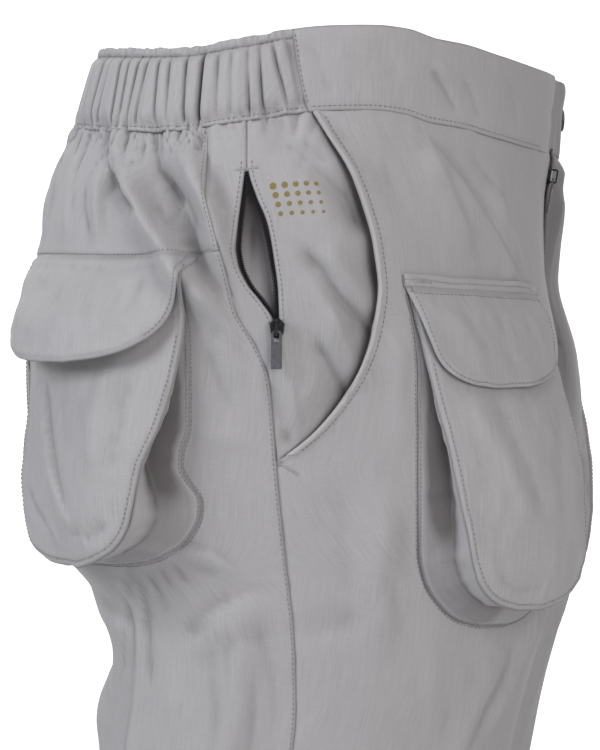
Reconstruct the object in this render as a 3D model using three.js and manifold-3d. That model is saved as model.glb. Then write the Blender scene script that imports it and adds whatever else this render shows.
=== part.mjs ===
import * as THREE from 'three';
import { mergeVertices } from 'three/addons/utils/BufferGeometryUtils.js';
import Module from 'manifold-3d';

const wasm = await Module();
wasm.setup();

// Track pants as they are worn, with nobody in them. Millimetres, +Z up, the front towards -Y and
// the wearer's right towards -X. The origin is the centre of the waistband, half-way up it.

const CLOTH = 1.2; // wall of a panel with its seam allowances
const BAND_CLOTH = 2.2; // doubled cloth round the elastic
const HEM_CLOTH = 2.4;
const SEAM = 0.3; // space between pieces that are sewn together

const WAIST_TOP = 22;
const BAND_SEAM = -22;
const YOKE_SEAM = -93;
const CROTCH = -262;
const HEM = -1008;
const HEM_DEPTH = 25;

const SIDES = [
  { tag: 'R', sign: -1 },
  { tag: 'L', sign: 1 },
];

// Sections of the form from the waist to the hem. side is the half width to the side seam; front and
// back are the depths from x, y = 0; centre is the y of the section's own middle.
const FORM = [
  { z: 22, side: 171, front: 134, back: 126, centre: 0 },
  { z: -22, side: 177, front: 131, back: 138, centre: 2 },
  { z: -50, side: 183, front: 127, back: 148, centre: 4 },
  { z: -92, side: 189, front: 126, back: 156, centre: 6 },
  { z: -150, side: 192, front: 135, back: 159, centre: 4 },
  { z: -200, side: 192, front: 139, back: 154, centre: 2 },
  { z: -250, side: 191, front: 136, back: 134, centre: -2 },
  { z: -295, side: 189, front: 130, back: 102, centre: -6 },
  { z: -330, side: 188, front: 121, back: 105, centre: -4 },
  { z: -363, side: 187, front: 113, back: 110, centre: 0 },
  { z: -500, side: 178, front: 92, back: 104, centre: 6 },
  { z: -650, side: 170, front: 76, back: 95, centre: 10 },
  { z: -800, side: 166, front: 62, back: 92, centre: 15 },
  { z: -920, side: 162, front: 48, back: 88, centre: 20 },
  { z: -1008, side: 160, front: 42, back: 86, centre: 22 },
];
const SQUARENESS = 0.93; // power of the sections' sines: below 1 fills out their corners

// Below the crotch each section is a ring round its leg: its middle's x and its inner half width.
const LEG = [
  { z: -262, middle: 96, inner: 96 },
  { z: -300, middle: 96.5, inner: 93.5 },
  { z: -363, middle: 97.5, inner: 91 },
  { z: -500, middle: 100, inner: 80 },
  { z: -650, middle: 102, inner: 69 },
  { z: -800, middle: 104, inner: 62 },
  { z: -1008, middle: 104, inner: 57 },
];
const LEG_MIDDLE = 96;
const MIDDLE_POWER = 1.2; // how fast the two rings' middles part from the waist down
const INNER_POWER = -1; // and how fast their inner halves narrow, from very wide at the waist
const WAIST_SHARE = 1e-4; // keeps them from being endless there

// How far the waist rises or dips, by the angle round the side: 0 outward, 90 front, -90 back.
const WAIST_DIP = [
  { angle: -90, dip: 3 },
  { angle: -64, dip: -0.7 },
  { angle: -47, dip: -4.5 },
  { angle: -33, dip: -7 },
  { angle: -22, dip: -8 },
  { angle: -12, dip: -5.5 },
  { angle: -4, dip: -3 },
  { angle: 1, dip: -0.6 },
  { angle: 10, dip: 1.5 },
  { angle: 20, dip: 2 },
  { angle: 27, dip: 0.5 },
  { angle: 34, dip: -3.8 },
  { angle: 42, dip: -5.8 },
  { angle: 53, dip: -10 },
  { angle: 69, dip: -13.6 },
  { angle: 90, dip: -15 },
];
const DIP_FADES_AT = -170;

// Seams and edges that run down the garment, each as the angle it has at a height.
const SIDE_SEAM = [
  { z: -22, angle: -15 },
  { z: -60, angle: -11.5 },
  { z: -98, angle: -7.2 },
  { z: -125, angle: -5.5 },
  { z: -145, angle: -2 },
  { z: -160, angle: -0.4 },
  { z: -200, angle: 0.2 },
  { z: -290, angle: 0.6 },
  { z: -354, angle: 2.4 },
  { z: -1008, angle: 2 },
];
const FRONT_CURVE_END = -202.5;
const FRONT_CURVE = [
  { z: -22, angle: 6.7 },
  { z: -33, angle: 9.9 },
  { z: -50, angle: 15.1 },
  { z: -71, angle: 19.7 },
  { z: -92, angle: 22.6 },
  { z: -111, angle: 23.4 },
  { z: -136, angle: 21.2 },
  { z: -149, angle: 19.2 },
  { z: -164, angle: 15.9 },
  { z: -180, angle: 11 },
  { z: -191, angle: 6.8 },
  { z: -202.5, angle: 1.2 },
];
const ZIP_TOP = -50;
const ZIP_END = -131;
const ZIP_REAR = [
  { z: -22, angle: -6.4 },
  { z: -50, angle: -4.9 },
  { z: -90, angle: -5.2 },
  { z: -100, angle: -4.7 },
  { z: -112, angle: -3 },
  { z: -120, angle: -1.1 },
  { z: -131, angle: 0.8 },
  { z: -146, angle: 1.4 },
  { z: -178, angle: 1.5 },
  { z: -202.5, angle: 0.55 },
];
const ZIP_FRONT = [
  { z: -22, angle: -5.7 },
  { z: -50, angle: -4.2 },
  { z: -64, angle: -2.3 },
  { z: -78, angle: -0.2 },
  { z: -100, angle: 1.3 },
  { z: -116, angle: 1.9 },
  { z: -131, angle: 1.9 },
  { z: -146, angle: 2.6 },
  { z: -178, angle: 4.2 },
  { z: -190, angle: 3.4 },
  { z: -202.5, angle: 0.85 },
];
const ELASTIC_END = [
  { z: 22, angle: 1.6 },
  { z: -8, angle: 4 },
  { z: -22, angle: 5.8 },
];

// The fly: how far each front reaches past, or stops short of, the centre line.
const FLY_END = -162;
const FLY_RIGHT = [
  { z: -22, reach: 34 },
  { z: -60, reach: 32 },
  { z: -110, reach: 30 },
  { z: -135, reach: 20 },
  { z: -150, reach: 9 },
  { z: -162, reach: 0.15 },
];
const FLY_LEFT = [
  { z: -22, reach: 16 },
  { z: -110, reach: 16 },
  { z: -135, reach: 9 },
  { z: -150, reach: 2 },
  { z: -162, reach: -0.15 },
];
const BAND_END = [
  { z: 22, reach: 27 },
  { z: 4, reach: 34 },
  { z: -22, reach: 43 },
];

// Folds stand out from the form, or sink into it where height is below 0, along paths of
// [angle, z]. width is the half width of the ridge. The left side has them a little lower or
// higher, by left, and at leftHeight of their height.
const FOLDS = [
  {
    path: [[-31, -40], [-24, -73], [-19, -87], [-13.5, -108], [-6.5, -133]],
    height: 8, width: 9, left: -7, leftHeight: 0.8,
  },
  {
    path: [[-19, -26], [-9.5, -73], [-7.5, -92], [-6.5, -112]],
    height: 5, width: 7, left: 6, leftHeight: 0.7,
  },
  { path: [[-24, -40], [-15, -80], [-10, -112]], height: -4, width: 6, left: 0, leftHeight: 0.9 },
  { path: [[-42, -30], [-38, -88]], height: 3, width: 6, left: 5, leftHeight: 1.1 },
  { path: [[-54, -30], [-50, -84]], height: 2.5, width: 6, left: -4, leftHeight: 1 },
  { path: [[-68, -30], [-66, -86]], height: 2.5, width: 7, left: 0, leftHeight: 1.2 },
  { path: [[9, -98], [14, -140], [19, -168]], height: 3, width: 8, left: 8, leftHeight: 0.8 },
  { path: [[33, -34], [42, -66], [50, -92]], height: 3, width: 9, left: -6, leftHeight: 1.1 },
  { path: [[56, -42], [60, -70], [70, -96]], height: 2.5, width: 8, left: 5, leftHeight: 0.8 },
  { path: [[-26, -292], [-14, -282], [-2, -272]], height: 5, width: 9, left: -10, leftHeight: 0.9 },
  { path: [[-12, -286], [-11, -330], [-13, -390]], height: 5, width: 12, left: 12, leftHeight: 0.8 },
  { path: [[62, -300], [54, -330], [48, -372]], height: 5, width: 12, left: -8, leftHeight: 0.9 },
  { path: [[24, -226], [20, -268], [22, -310]], height: 3, width: 10, left: 10, leftHeight: 0.7 },
  { path: [[100, -214], [75, -300], [62, -350]], height: 5, width: 14, left: 6, leftHeight: 1 },
  { path: [[-110, -262], [-80, -286], [-52, -296]], height: 6, width: 12, left: -6, leftHeight: 0.9 },
  { path: [[-120, -292], [-90, -330], [-66, -350]], height: 5, width: 12, left: 8, leftHeight: 1 },
  { path: [[40, -468], [80, -492], [120, -486]], height: 5, width: 15, left: 14, leftHeight: 0.9 },
  { path: [[-20, -500], [-60, -522], [-110, -508]], height: 7, width: 16, left: -12, leftHeight: 0.8 },
  { path: [[-70, -556], [-110, -540], [-150, -560]], height: 6, width: 15, left: 10, leftHeight: 1 },
  { path: [[10, -560], [50, -590], [95, -575]], height: 5, width: 15, left: -10, leftHeight: 1.1 },
  { path: [[-30, -640], [-70, -700], [-100, -780]], height: 5, width: 18, left: 16, leftHeight: 0.8 },
  { path: [[30, -700], [60, -780], [75, -860]], height: 5, width: 18, left: -14, leftHeight: 0.9 },
  { path: [[-30, -880], [-80, -906], [-130, -894]], height: 6, width: 15, left: 8, leftHeight: 1 },
  { path: [[10, -906], [60, -940], [110, -924]], height: 6, width: 14, left: -9, leftHeight: 0.9 },
  { path: [[-60, -956], [-100, -966], [-150, -950]], height: 5, width: 12, left: 6, leftHeight: 1 },
];
const ARC_RADIUS = 150; // turns an angle into a length for the folds' widths
const FOLD_TAPER = 24; // length over which a fold rises from nothing at its ends
const CALM_NEAR_CENTRE = 28; // folds fade out within this distance of the centre plane

// Heights of the panels' rows. Panels that share a seam share its rows.
const YOKE_ROWS = [BAND_SEAM, -36, ZIP_TOP, -64, -78.5, YOKE_SEAM];
const HIP_ROWS = [-106, -118.5, ZIP_END, -146, FLY_END, -178, -190, FRONT_CURVE_END, -222, -242, CROTCH];
const LEG_ROWS = [-285, -315, -355, -405, -465, -535, -615, -700, -790, -880, HEM + HEM_DEPTH, HEM];
const BAND_ROWS = [WAIST_TOP, 4, BAND_SEAM];

// Columns of the panels, from one edge to the other.
const YOKE_COLUMNS = 16;
const LEG_COLUMNS = 16;
const FRONT_COLUMNS = 14;

// The elastic's gathers: how many go all round, how deep they are and which share of that each row
// of the band has, with every third or so deeper.
const GATHERS = 66;
const GATHER_DEPTH = 1.2;
const GATHER_ROWS = [
  { z: WAIST_TOP, share: 0.5 },
  { z: 16, share: 1 },
  { z: -3, share: 1.15 },
  { z: BAND_SEAM, share: 1 },
];
const GATHER_UNEVEN = 0.25;
const GATHER_BEAT = 1.7; // radians from one gather to the next

// How far the outer sides of layers lie from the panels' outer side.
const BAND_LIFT = 0.8;
const UNDERLAP_LIFT = -2.2; // the left band where it runs under the right one's end
const BINDING = { width: 2.6, lift: 1.5, cloth: 0.9 };
const FLY_TAPE = { lift: -CLOTH - 1, cloth: 0.8, reach: [37, 11] };
const SIDE_BAG = { lift: -CLOTH - 1.3, cloth: 0.9, deep: 13, top: -44, bottom: -150, rear: -9.5, front: 12 };
// The side tapes' showing and hidden widths and the gap between them are in degrees.
const SIDE_TAPE = { lift: -CLOTH - 0.8, cloth: 0.8, showing: 1, hidden: 1.7, gap: 0.3 };

// Bellows pockets: rows from the mouth down. The face has its edges at the angles near and far, at
// its own height z, and stands lift off the panel, and swell more in its middle. The base is the
// seam on the panel under the same row. The flap's outer side lies over the face's by over, and its
// top row is below 0 there because it tucks down to its seam above the mouth.
const FRONT_POCKET = {
  name: 'front_pocket',
  rows: [
    { z: -117, near: 30.3, far: 77, lift: 7, swell: 1.5, baseZ: -117, baseNear: 29.8, baseFar: 78.5 },
    { z: -136, near: 31.2, far: 76.5, lift: 8, swell: 2, baseZ: -136, baseNear: 30.7, baseFar: 79 },
    { z: -154, near: 31.8, far: 76, lift: 10, swell: 3, baseZ: -154, baseNear: 30.8, baseFar: 79 },
    { z: -172, near: 32.6, far: 75.5, lift: 12.5, swell: 3, baseZ: -172, baseNear: 30.4, baseFar: 79.5 },
    { z: -190, near: 33.6, far: 75, lift: 16.5, swell: 3, baseZ: -190, baseNear: 30.2, baseFar: 80 },
    { z: -208, near: 34.8, far: 74.5, lift: 20.5, swell: 3, baseZ: -210, baseNear: 30, baseFar: 80 },
    { z: -226, near: 36, far: 73.5, lift: 24.5, swell: 3, baseZ: -230, baseNear: 30, baseFar: 80 },
    { z: -243, near: 37.3, far: 72.5, lift: 28.5, swell: 2, baseZ: -250, baseNear: 30, baseFar: 79.5 },
    { z: -257, near: 38.4, far: 71, lift: 31, swell: 2, baseZ: -266, baseNear: 31.5, baseFar: 78 },
    { z: -267, near: 40.5, far: 67.5, lift: 32, swell: 1, baseZ: -278, baseNear: 35.5, baseFar: 74 },
    { z: -275, near: 44.5, far: 61.5, lift: 31.5, swell: 0.5, baseZ: -287, baseNear: 42, baseFar: 67 },
    { z: -278, near: 49.5, far: 56.5, lift: 31, swell: 0, baseZ: -290, baseNear: 49, baseFar: 59 },
  ],
  flap: [
    { z: -113, near: 29.4, far: 76.8, over: -3 },
    { z: -118.5, near: 30, far: 76.7, over: 3.6 },
    { z: -128, near: 31, far: 76.5, over: 3.6 },
    { z: -140, near: 32, far: 75.4, over: 3.4 },
    { z: -151, near: 33.3, far: 73.4, over: 3.2 },
    { z: -160, near: 36, far: 69.4, over: 3 },
    { z: -168, near: 43.8, far: 59.4, over: 3 },
  ],
};
const BACK_POCKET = {
  name: 'back_pocket',
  rows: [
    { z: -101, near: -15.8, far: -70, lift: 6, swell: 3, baseZ: -101, baseNear: -15, baseFar: -72 },
    { z: -109, near: -15.8, far: -70, lift: 6.2, swell: 5, baseZ: -109, baseNear: -14.9, baseFar: -72 },
    { z: -118, near: -15.9, far: -70, lift: 6.5, swell: 8, baseZ: -118, baseNear: -14.8, baseFar: -72 },
    { z: -138, near: -16.5, far: -70, lift: 8, swell: 13, baseZ: -138, baseNear: -14.8, baseFar: -73 },
    { z: -156, near: -17.6, far: -69.5, lift: 11, swell: 13, baseZ: -156, baseNear: -15, baseFar: -74 },
    { z: -173, near: -19.1, far: -69, lift: 14.5, swell: 11, baseZ: -173, baseNear: -15.4, baseFar: -74 },
    { z: -190, near: -21.3, far: -68.5, lift: 18.5, swell: 8, baseZ: -190, baseNear: -16.2, baseFar: -74 },
    { z: -206, near: -24.2, far: -67.5, lift: 22, swell: 5, baseZ: -206, baseNear: -16.9, baseFar: -74 },
    { z: -221, near: -26.2, far: -66.5, lift: 25, swell: 3, baseZ: -221, baseNear: -17.5, baseFar: -74 },
    { z: -235, near: -28.6, far: -65, lift: 27.5, swell: 1, baseZ: -236, baseNear: -19.5, baseFar: -73 },
    { z: -246, near: -32.6, far: -62, lift: 28.5, swell: 0.5, baseZ: -248, baseNear: -24.5, baseFar: -70 },
    { z: -252, near: -38.5, far: -57, lift: 28.5, swell: 0, baseZ: -256, baseNear: -32, baseFar: -65 },
    { z: -254, near: -44.5, far: -51, lift: 28, swell: 0, baseZ: -259, baseNear: -42, baseFar: -56 },
  ],
  flap: [
    { z: -95, near: -16.2, far: -71.8, over: -2.2 },
    { z: -99.5, near: -16.4, far: -71.6, over: 3.6 },
    { z: -109, near: -16.9, far: -71.3, over: 3.6 },
    { z: -118, near: -17.7, far: -71, over: 3.6 },
    { z: -129, near: -19.3, far: -69.8, over: 3.6 },
    { z: -140, near: -21.8, far: -67.8, over: 3.4 },
    { z: -148, near: -25.8, far: -64, over: 3.2 },
    { z: -153, near: -33, far: -57, over: 3 },
  ],
};
const POCKET_COLUMNS = 8;
const BASE_LIFT = 1.8; // the gusset's seam over the panel
const PLEAT = 3.5; // how far the gusset's bellows pleat tucks in
const PLEAT_SHARE = 0.25; // and at most this share of the gusset's own width
const INWARD_RISE = 25; // the way into a pocket from its edge leads up by this
const HEADER = { radius: 3, z: -109.6, lift: 3.9, near: 29.2, far: 77, corners: 8, sections: 12 };

// Where the zips' sliders and the press stud sit, with the lift of their feet.
const SIDE_SLIDER = { angle: 1.6, z: -135, lift: 0.9 };
const FLY_SLIDER = { reach: 25, z: -34, lift: -1.1 };
const STUD = { reach: 48, z: 3, lift: 1.2, radius: 6.5, thick: 2.2, bevel: 1.2 };

const PAINT = {
  cloth: new THREE.MeshStandardMaterial({ color: 0xa3a1a5, roughness: 0.85, metalness: 0 }),
  binding: new THREE.MeshStandardMaterial({ color: 0xb0aeb2, roughness: 0.8, metalness: 0 }),
  inside: new THREE.MeshStandardMaterial({ color: 0x8b898c, roughness: 0.9, metalness: 0 }),
  tape: new THREE.MeshStandardMaterial({ color: 0x1d1c1e, roughness: 0.8, metalness: 0 }),
  slider: new THREE.MeshStandardMaterial({ color: 0x232325, roughness: 0.4, metalness: 0.3 }),
  tab: new THREE.MeshStandardMaterial({ color: 0x56565a, roughness: 0.5, metalness: 0.1 }),
  snap: new THREE.MeshStandardMaterial({ color: 0x3a393b, roughness: 0.35, metalness: 0.6 }),
};

const radians = THREE.MathUtils.degToRad;
const degrees = THREE.MathUtils.radToDeg;
const mix = THREE.MathUtils.lerp;
const smoothstep = THREE.MathUtils.smoothstep;

// A monotone cubic through a column of a table, flat beyond its ends.
function curve(table, along, column) {
  const rows = [...table].sort((a, b) => a[along] - b[along]);
  const xs = rows.map((row) => row[along]);
  const ys = rows.map((row) => row[column]);
  const last = xs.length - 1;
  const slopes = ys.slice(1).map((y, i) => (y - ys[i]) / (xs[i + 1] - xs[i]));
  const tangents = ys.map((_, i) => {
    if (i === 0) return slopes[0];
    if (i === last) return slopes[last - 1];
    const [before, after] = [slopes[i - 1], slopes[i]];
    if (before * after <= 0) return 0;
    const left = xs[i] - xs[i - 1];
    const right = xs[i + 1] - xs[i];
    return (3 * (left + right)) / ((2 * right + left) / before + (right + 2 * left) / after);
  });
  return (at) => {
    const x = Math.min(Math.max(at, xs[0]), xs[last]);
    let i = 0;
    while (i < last - 1 && x > xs[i + 1]) i += 1;
    const h = xs[i + 1] - xs[i];
    const t = (x - xs[i]) / h;
    const rise = ys[i] * (1 + 2 * t) + h * tangents[i] * t;
    const fall = ys[i + 1] * (3 - 2 * t) + h * tangents[i + 1] * (t - 1);
    return rise * (1 - t) ** 2 + fall * t ** 2;
  };
}

const form = {
  side: curve(FORM, 'z', 'side'),
  front: curve(FORM, 'z', 'front'),
  back: curve(FORM, 'z', 'back'),
  centre: curve(FORM, 'z', 'centre'),
};
const legMiddle = curve(LEG, 'z', 'middle');
const legInner = curve(LEG, 'z', 'inner');
const waistDip = curve(WAIST_DIP, 'angle', 'dip');
const sideSeam = curve(SIDE_SEAM, 'z', 'angle');
const frontCurve = curve(FRONT_CURVE, 'z', 'angle');
const zipRear = curve(ZIP_REAR, 'z', 'angle');
const zipFront = curve(ZIP_FRONT, 'z', 'angle');
const elasticEnd = curve(ELASTIC_END, 'z', 'angle');
const flyRight = curve(FLY_RIGHT, 'z', 'reach');
const flyLeft = curve(FLY_LEFT, 'z', 'reach');
const bandEnd = curve(BAND_END, 'z', 'reach');

function signedPower(value, power) {
  return Math.sign(value) * Math.abs(value) ** power;
}

// The section at a height: x of its ring's middle, and its half widths outward and inward.
function sectionAt(z) {
  const down = THREE.MathUtils.clamp((WAIST_TOP - z) / (WAIST_TOP - CROTCH), WAIST_SHARE, 1);
  const middle = z >= CROTCH ? LEG_MIDDLE * down ** MIDDLE_POWER : legMiddle(z);
  const inner = z >= CROTCH ? LEG_MIDDLE * down ** INNER_POWER : legInner(z);
  return { middle, inner, outer: form.side(z) - middle };
}

// A point of the form: x is its distance from the centre plane.
function formPoint(angle, z) {
  const { middle, inner, outer } = sectionAt(z);
  const cosine = Math.cos(radians(angle));
  const sine = Math.sin(radians(angle));
  const centre = form.centre(z);
  const depth = sine >= 0 ? form.front(z) + centre : form.back(z) - centre;
  const x = middle + (cosine >= 0 ? outer : inner) * signedPower(cosine, SQUARENESS);
  const y = centre - depth * signedPower(sine, SQUARENESS);
  const fade = smoothstep(z, DIP_FADES_AT, 0);
  return new THREE.Vector3(x, y, z + waistDip(angle) * fade);
}

// The angle at which the section is a given distance from the centre plane, in front.
function angleAtReach(z, reach) {
  const { middle, inner, outer } = sectionAt(z);
  const offset = reach - middle;
  const share = Math.min(Math.abs(offset / (offset > 0 ? outer : inner)), 1);
  return degrees(Math.acos(Math.sign(offset) * share ** (1 / SQUARENESS)));
}

function centreAngle(z) {
  return z > CROTCH ? angleAtReach(z, 0) : 180;
}

function foldLength(path) {
  let length = 0;
  for (let i = 1; i < path.length; i += 1) length += path[i].distanceTo(path[i - 1]);
  return length;
}

const foldPaths = FOLDS.map((fold) => {
  const path = fold.path.map(([angle, z]) => new THREE.Vector2(radians(angle) * ARC_RADIUS, z));
  return { ...fold, path, length: foldLength(path) };
});

// Height of all the folds at a spot.
function relief(sign, angle, z, x) {
  const spot = new THREE.Vector2();
  const along = new THREE.Vector2();
  const nearest = new THREE.Vector2();
  let height = 0;
  for (const fold of foldPaths) {
    spot.set(radians(angle) * ARC_RADIUS, sign > 0 ? z - fold.left : z);
    let best = Infinity;
    let bestRun = 0;
    let run = 0;
    for (let i = 1; i < fold.path.length; i += 1) {
      const [a, b] = [fold.path[i - 1], fold.path[i]];
      along.subVectors(b, a);
      const t = Math.min(Math.max(nearest.subVectors(spot, a).dot(along) / along.lengthSq(), 0), 1);
      const distance = nearest.copy(a).addScaledVector(along, t).distanceTo(spot);
      if (distance < best) {
        best = distance;
        bestRun = run + t * along.length();
      }
      run += along.length();
    }
    if (best > 3 * fold.width) continue;
    const taper = smoothstep(Math.min(bestRun, fold.length - bestRun), -0.3 * FOLD_TAPER, FOLD_TAPER);
    const share = sign > 0 ? fold.leftHeight : 1;
    height += fold.height * share * taper * Math.exp(-((best / fold.width) ** 2));
  }
  return height * smoothstep(x, 0, CALM_NEAR_CENTRE);
}

// A point on one side of the garment, moved out from its form by the folds and by lift. Angles
// past the centre plane run on round the other side.
function surface(side, aroundAngle, z, lift) {
  const centre = centreAngle(z);
  const crosses = Math.abs(aroundAngle) > centre && z > CROTCH;
  const angle = crosses ? Math.sign(aroundAngle) * 2 * centre - aroundAngle : aroundAngle;
  const sign = crosses ? -side.sign : side.sign;
  const step = 0.05;
  const point = formPoint(angle, z);
  const up = formPoint(angle, z + step).sub(formPoint(angle, z - step));
  const round = formPoint(angle + step, z).sub(formPoint(angle - step, z));
  const normal = up.cross(round).normalize();
  point.addScaledVector(normal, lift + relief(sign, angle, z, point.x));
  point.x *= sign;
  return point;
}

// Degrees round the form for one millimetre.
function degreesPerMillimetre(angle, z) {
  return 1 / formPoint(angle + 0.5, z).distanceTo(formPoint(angle - 0.5, z));
}

// A closed wall between two sheets of points, with a hole wherever isCloth says no.
function wallGeometry(outer, inner, isCloth = () => true) {
  const rows = outer.length - 1;
  const columns = outer[0].length - 1;
  const positions = [];
  const indices = [];
  const numbers = new Map();
  const number = (sheet, row, column) => {
    const key = `${sheet === outer}/${row}/${column}`;
    if (!numbers.has(key)) {
      numbers.set(key, positions.length / 3);
      positions.push(...sheet[row][column].toArray());
    }
    return numbers.get(key);
  };
  const quad = (a, b, c, d) => indices.push(a, b, c, a, c, d);
  const cloth = (row, column) =>
    row >= 0 && row < rows && column >= 0 && column < columns && isCloth(row, column);
  for (let row = 0; row < rows; row += 1) {
    for (let column = 0; column < columns; column += 1) {
      if (!cloth(row, column)) continue;
      const corners = [[row, column], [row, column + 1], [row + 1, column + 1], [row + 1, column]];
      const out = corners.map(([r, c]) => number(outer, r, c));
      const back = corners.map(([r, c]) => number(inner, r, c));
      quad(...out);
      quad(...[...back].reverse());
      const neighbours = [[row - 1, column], [row, column + 1], [row + 1, column], [row, column - 1]];
      neighbours.forEach(([r, c], edge) => {
        const next = (edge + 1) % 4;
        if (!cloth(r, c)) quad(out[next], out[edge], back[edge], back[next]);
      });
    }
  }
  return facingOut(positions, indices);
}

// A solid through rings of points, one after another, closed by flat ends.
function ringGeometry(rings) {
  const positions = rings.flat().flatMap((point) => point.toArray());
  const count = rings[0].length;
  const indices = [];
  for (let ring = 1; ring < rings.length; ring += 1) {
    for (let i = 0; i < count; i += 1) {
      const next = (i + 1) % count;
      const [a, b] = [(ring - 1) * count, ring * count];
      indices.push(a + i, a + next, b + next, a + i, b + next, b + i);
    }
  }
  const end = (rings.length - 1) * count;
  for (let i = 1; i < count - 1; i += 1) indices.push(0, i + 1, i, end, end + i, end + i + 1);
  return facingOut(positions, indices);
}

function facingOut(positions, indices) {
  const [a, b, c] = [new THREE.Vector3(), new THREE.Vector3(), new THREE.Vector3()];
  let volume = 0;
  for (let i = 0; i < indices.length; i += 3) {
    a.fromArray(positions, indices[i] * 3);
    b.fromArray(positions, indices[i + 1] * 3);
    c.fromArray(positions, indices[i + 2] * 3);
    volume += a.dot(b.cross(c));
  }
  if (volume < 0) indices.reverse();
  const geometry = new THREE.BufferGeometry();
  geometry.setAttribute('position', new THREE.Float32BufferAttribute(positions, 3));
  geometry.setIndex(indices);
  geometry.computeVertexNormals();
  return geometry;
}

const garment = new THREE.Group();

function add(name, geometry, material, parent = garment) {
  const mesh = new THREE.Mesh(geometry, material);
  mesh.name = name;
  parent.add(mesh);
  return mesh;
}

// A sheet's angles at a height: edges are functions of z, with counts columns between each two.
// Half a seam's space is left at its two ends.
function anglesAt(edges, counts, z) {
  const ends = edges.map((edge) => edge(z));
  const last = ends.length - 1;
  const trim = (Math.sign(ends[last] - ends[0]) * SEAM) / 2;
  ends[0] += trim * degreesPerMillimetre(ends[0], z);
  ends[last] -= trim * degreesPerMillimetre(ends[last], z);
  const angles = [ends[0]];
  counts.forEach((count, part) => {
    for (let i = 1; i <= count; i += 1) angles.push(mix(ends[part], ends[part + 1], i / count));
  });
  return angles;
}

// A panel of cloth between edges that run down the garment. lift may depend on angle and height.
function panel(side, { edges, counts, rows, lift = () => 0, cloth = () => CLOTH, isCloth }) {
  const outer = [];
  const inner = [];
  rows.forEach((seam, row) => {
    const trim = row === 0 ? -SEAM / 2 : row === rows.length - 1 ? SEAM / 2 : 0;
    const z = seam + trim;
    const angles = anglesAt(edges, counts, z);
    const sheet = (depth) => angles.map((angle, column) =>
      surface(side, angle, z, lift(angle, z, column, row) - depth));
    outer.push(sheet(0));
    inner.push(sheet(cloth(z)));
  });
  return wallGeometry(outer, inner, isCloth);
}

function legCloth(z) {
  return z < HEM + HEM_DEPTH ? HEM_CLOTH : CLOTH;
}

function waistbandBack() {
  const wayRound = (z) => -2 * centreAngle(z) - elasticEnd(z);
  return panel(SIDES[0], {
    edges: [elasticEnd, wayRound],
    counts: [2 * GATHERS],
    rows: GATHER_ROWS.map((row) => row.z),
    lift: (angle, z, column, row) => {
      const uneven = 1 + GATHER_UNEVEN * Math.sin(column * GATHER_BEAT);
      const way = column % 2 ? 0.5 : -0.5;
      return BAND_LIFT + GATHER_DEPTH * GATHER_ROWS[row].share * uneven * way;
    },
    cloth: () => BAND_CLOTH,
  });
}

// The right end stops short of the centre. The left end runs on under it.
function waistbandFronts() {
  const rightEnd = (z) => angleAtReach(z, bandEnd(z));
  add('waistband_front_R', panel(SIDES[0], {
    edges: [elasticEnd, rightEnd],
    counts: [14],
    rows: BAND_ROWS,
    lift: () => BAND_LIFT,
    cloth: () => BAND_CLOTH,
  }), PAINT.cloth);
  const sinksFrom = (z) => angleAtReach(z, 25);
  const past = (z, reach) => 2 * centreAngle(z) - angleAtReach(z, reach);
  add('waistband_front_L', panel(SIDES[1], {
    edges: [elasticEnd, sinksFrom, (z) => past(z, 58)],
    counts: [12, 7],
    rows: BAND_ROWS,
    lift: (angle, z) => mix(BAND_LIFT, UNDERLAP_LIFT, smoothstep(angle, sinksFrom(z), past(z, 20))),
    cloth: () => BAND_CLOTH,
  }), PAINT.cloth);
}

function hipYoke(side) {
  return panel(side, {
    edges: [sideSeam, (z) => -centreAngle(z)],
    counts: [YOKE_COLUMNS],
    rows: YOKE_ROWS,
  });
}

function backLeg(side) {
  return panel(side, {
    edges: [sideSeam, (z) => -centreAngle(z)],
    counts: [LEG_COLUMNS],
    rows: [YOKE_SEAM, ...HIP_ROWS, ...LEG_ROWS],
    cloth: legCloth,
  });
}

function frontLeg(side) {
  const outerEdge = (z) => (z > FRONT_CURVE_END - 1 ? frontCurve(z) : sideSeam(z));
  const right = (z) => (z > FLY_END ? angleAtReach(z, flyRight(z)) : centreAngle(z));
  const left = (z) => {
    if (z <= FLY_END) return centreAngle(z);
    const reach = flyLeft(z);
    return reach > 0 ? 2 * centreAngle(z) - angleAtReach(z, reach) : angleAtReach(z, -reach);
  };
  return panel(side, {
    edges: [outerEdge, side.sign < 0 ? right : left],
    counts: [FRONT_COLUMNS],
    rows: [...YOKE_ROWS, ...HIP_ROWS, ...LEG_ROWS],
    cloth: legCloth,
  });
}

// The side panel has a slot for its zip between the second and third edges.
function sidePanel(side) {
  const rows = [...YOKE_ROWS, ...HIP_ROWS].filter((z) => z >= FRONT_CURVE_END);
  const first = rows.indexOf(ZIP_TOP);
  const end = rows.indexOf(ZIP_END);
  return panel(side, {
    edges: [sideSeam, zipRear, zipFront, frontCurve],
    counts: [2, 2, 5],
    rows,
    isCloth: (row, column) => row < first || row >= end || column < 2 || column > 3,
  });
}

// The binding keeps its width across the curve's own slope.
function curvedBinding(side) {
  const { width, lift, cloth } = BINDING;
  const rows = [...YOKE_ROWS, ...HIP_ROWS].filter((z) => z < BAND_SEAM && z > FRONT_CURVE_END);
  const perMillimetre = (z) => degreesPerMillimetre(frontCurve(z), z);
  const slope = (z) => (frontCurve(z + 1) - frontCurve(z - 1)) / 2 / perMillimetre(z);
  return panel(side, {
    edges: [frontCurve, (z) => frontCurve(z) + width * Math.hypot(1, slope(z)) * perMillimetre(z)],
    counts: [1],
    rows: [BAND_SEAM - 2, ...rows, FRONT_CURVE_END + 4.5],
    lift: () => lift,
    cloth: () => cloth,
  });
}

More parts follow.
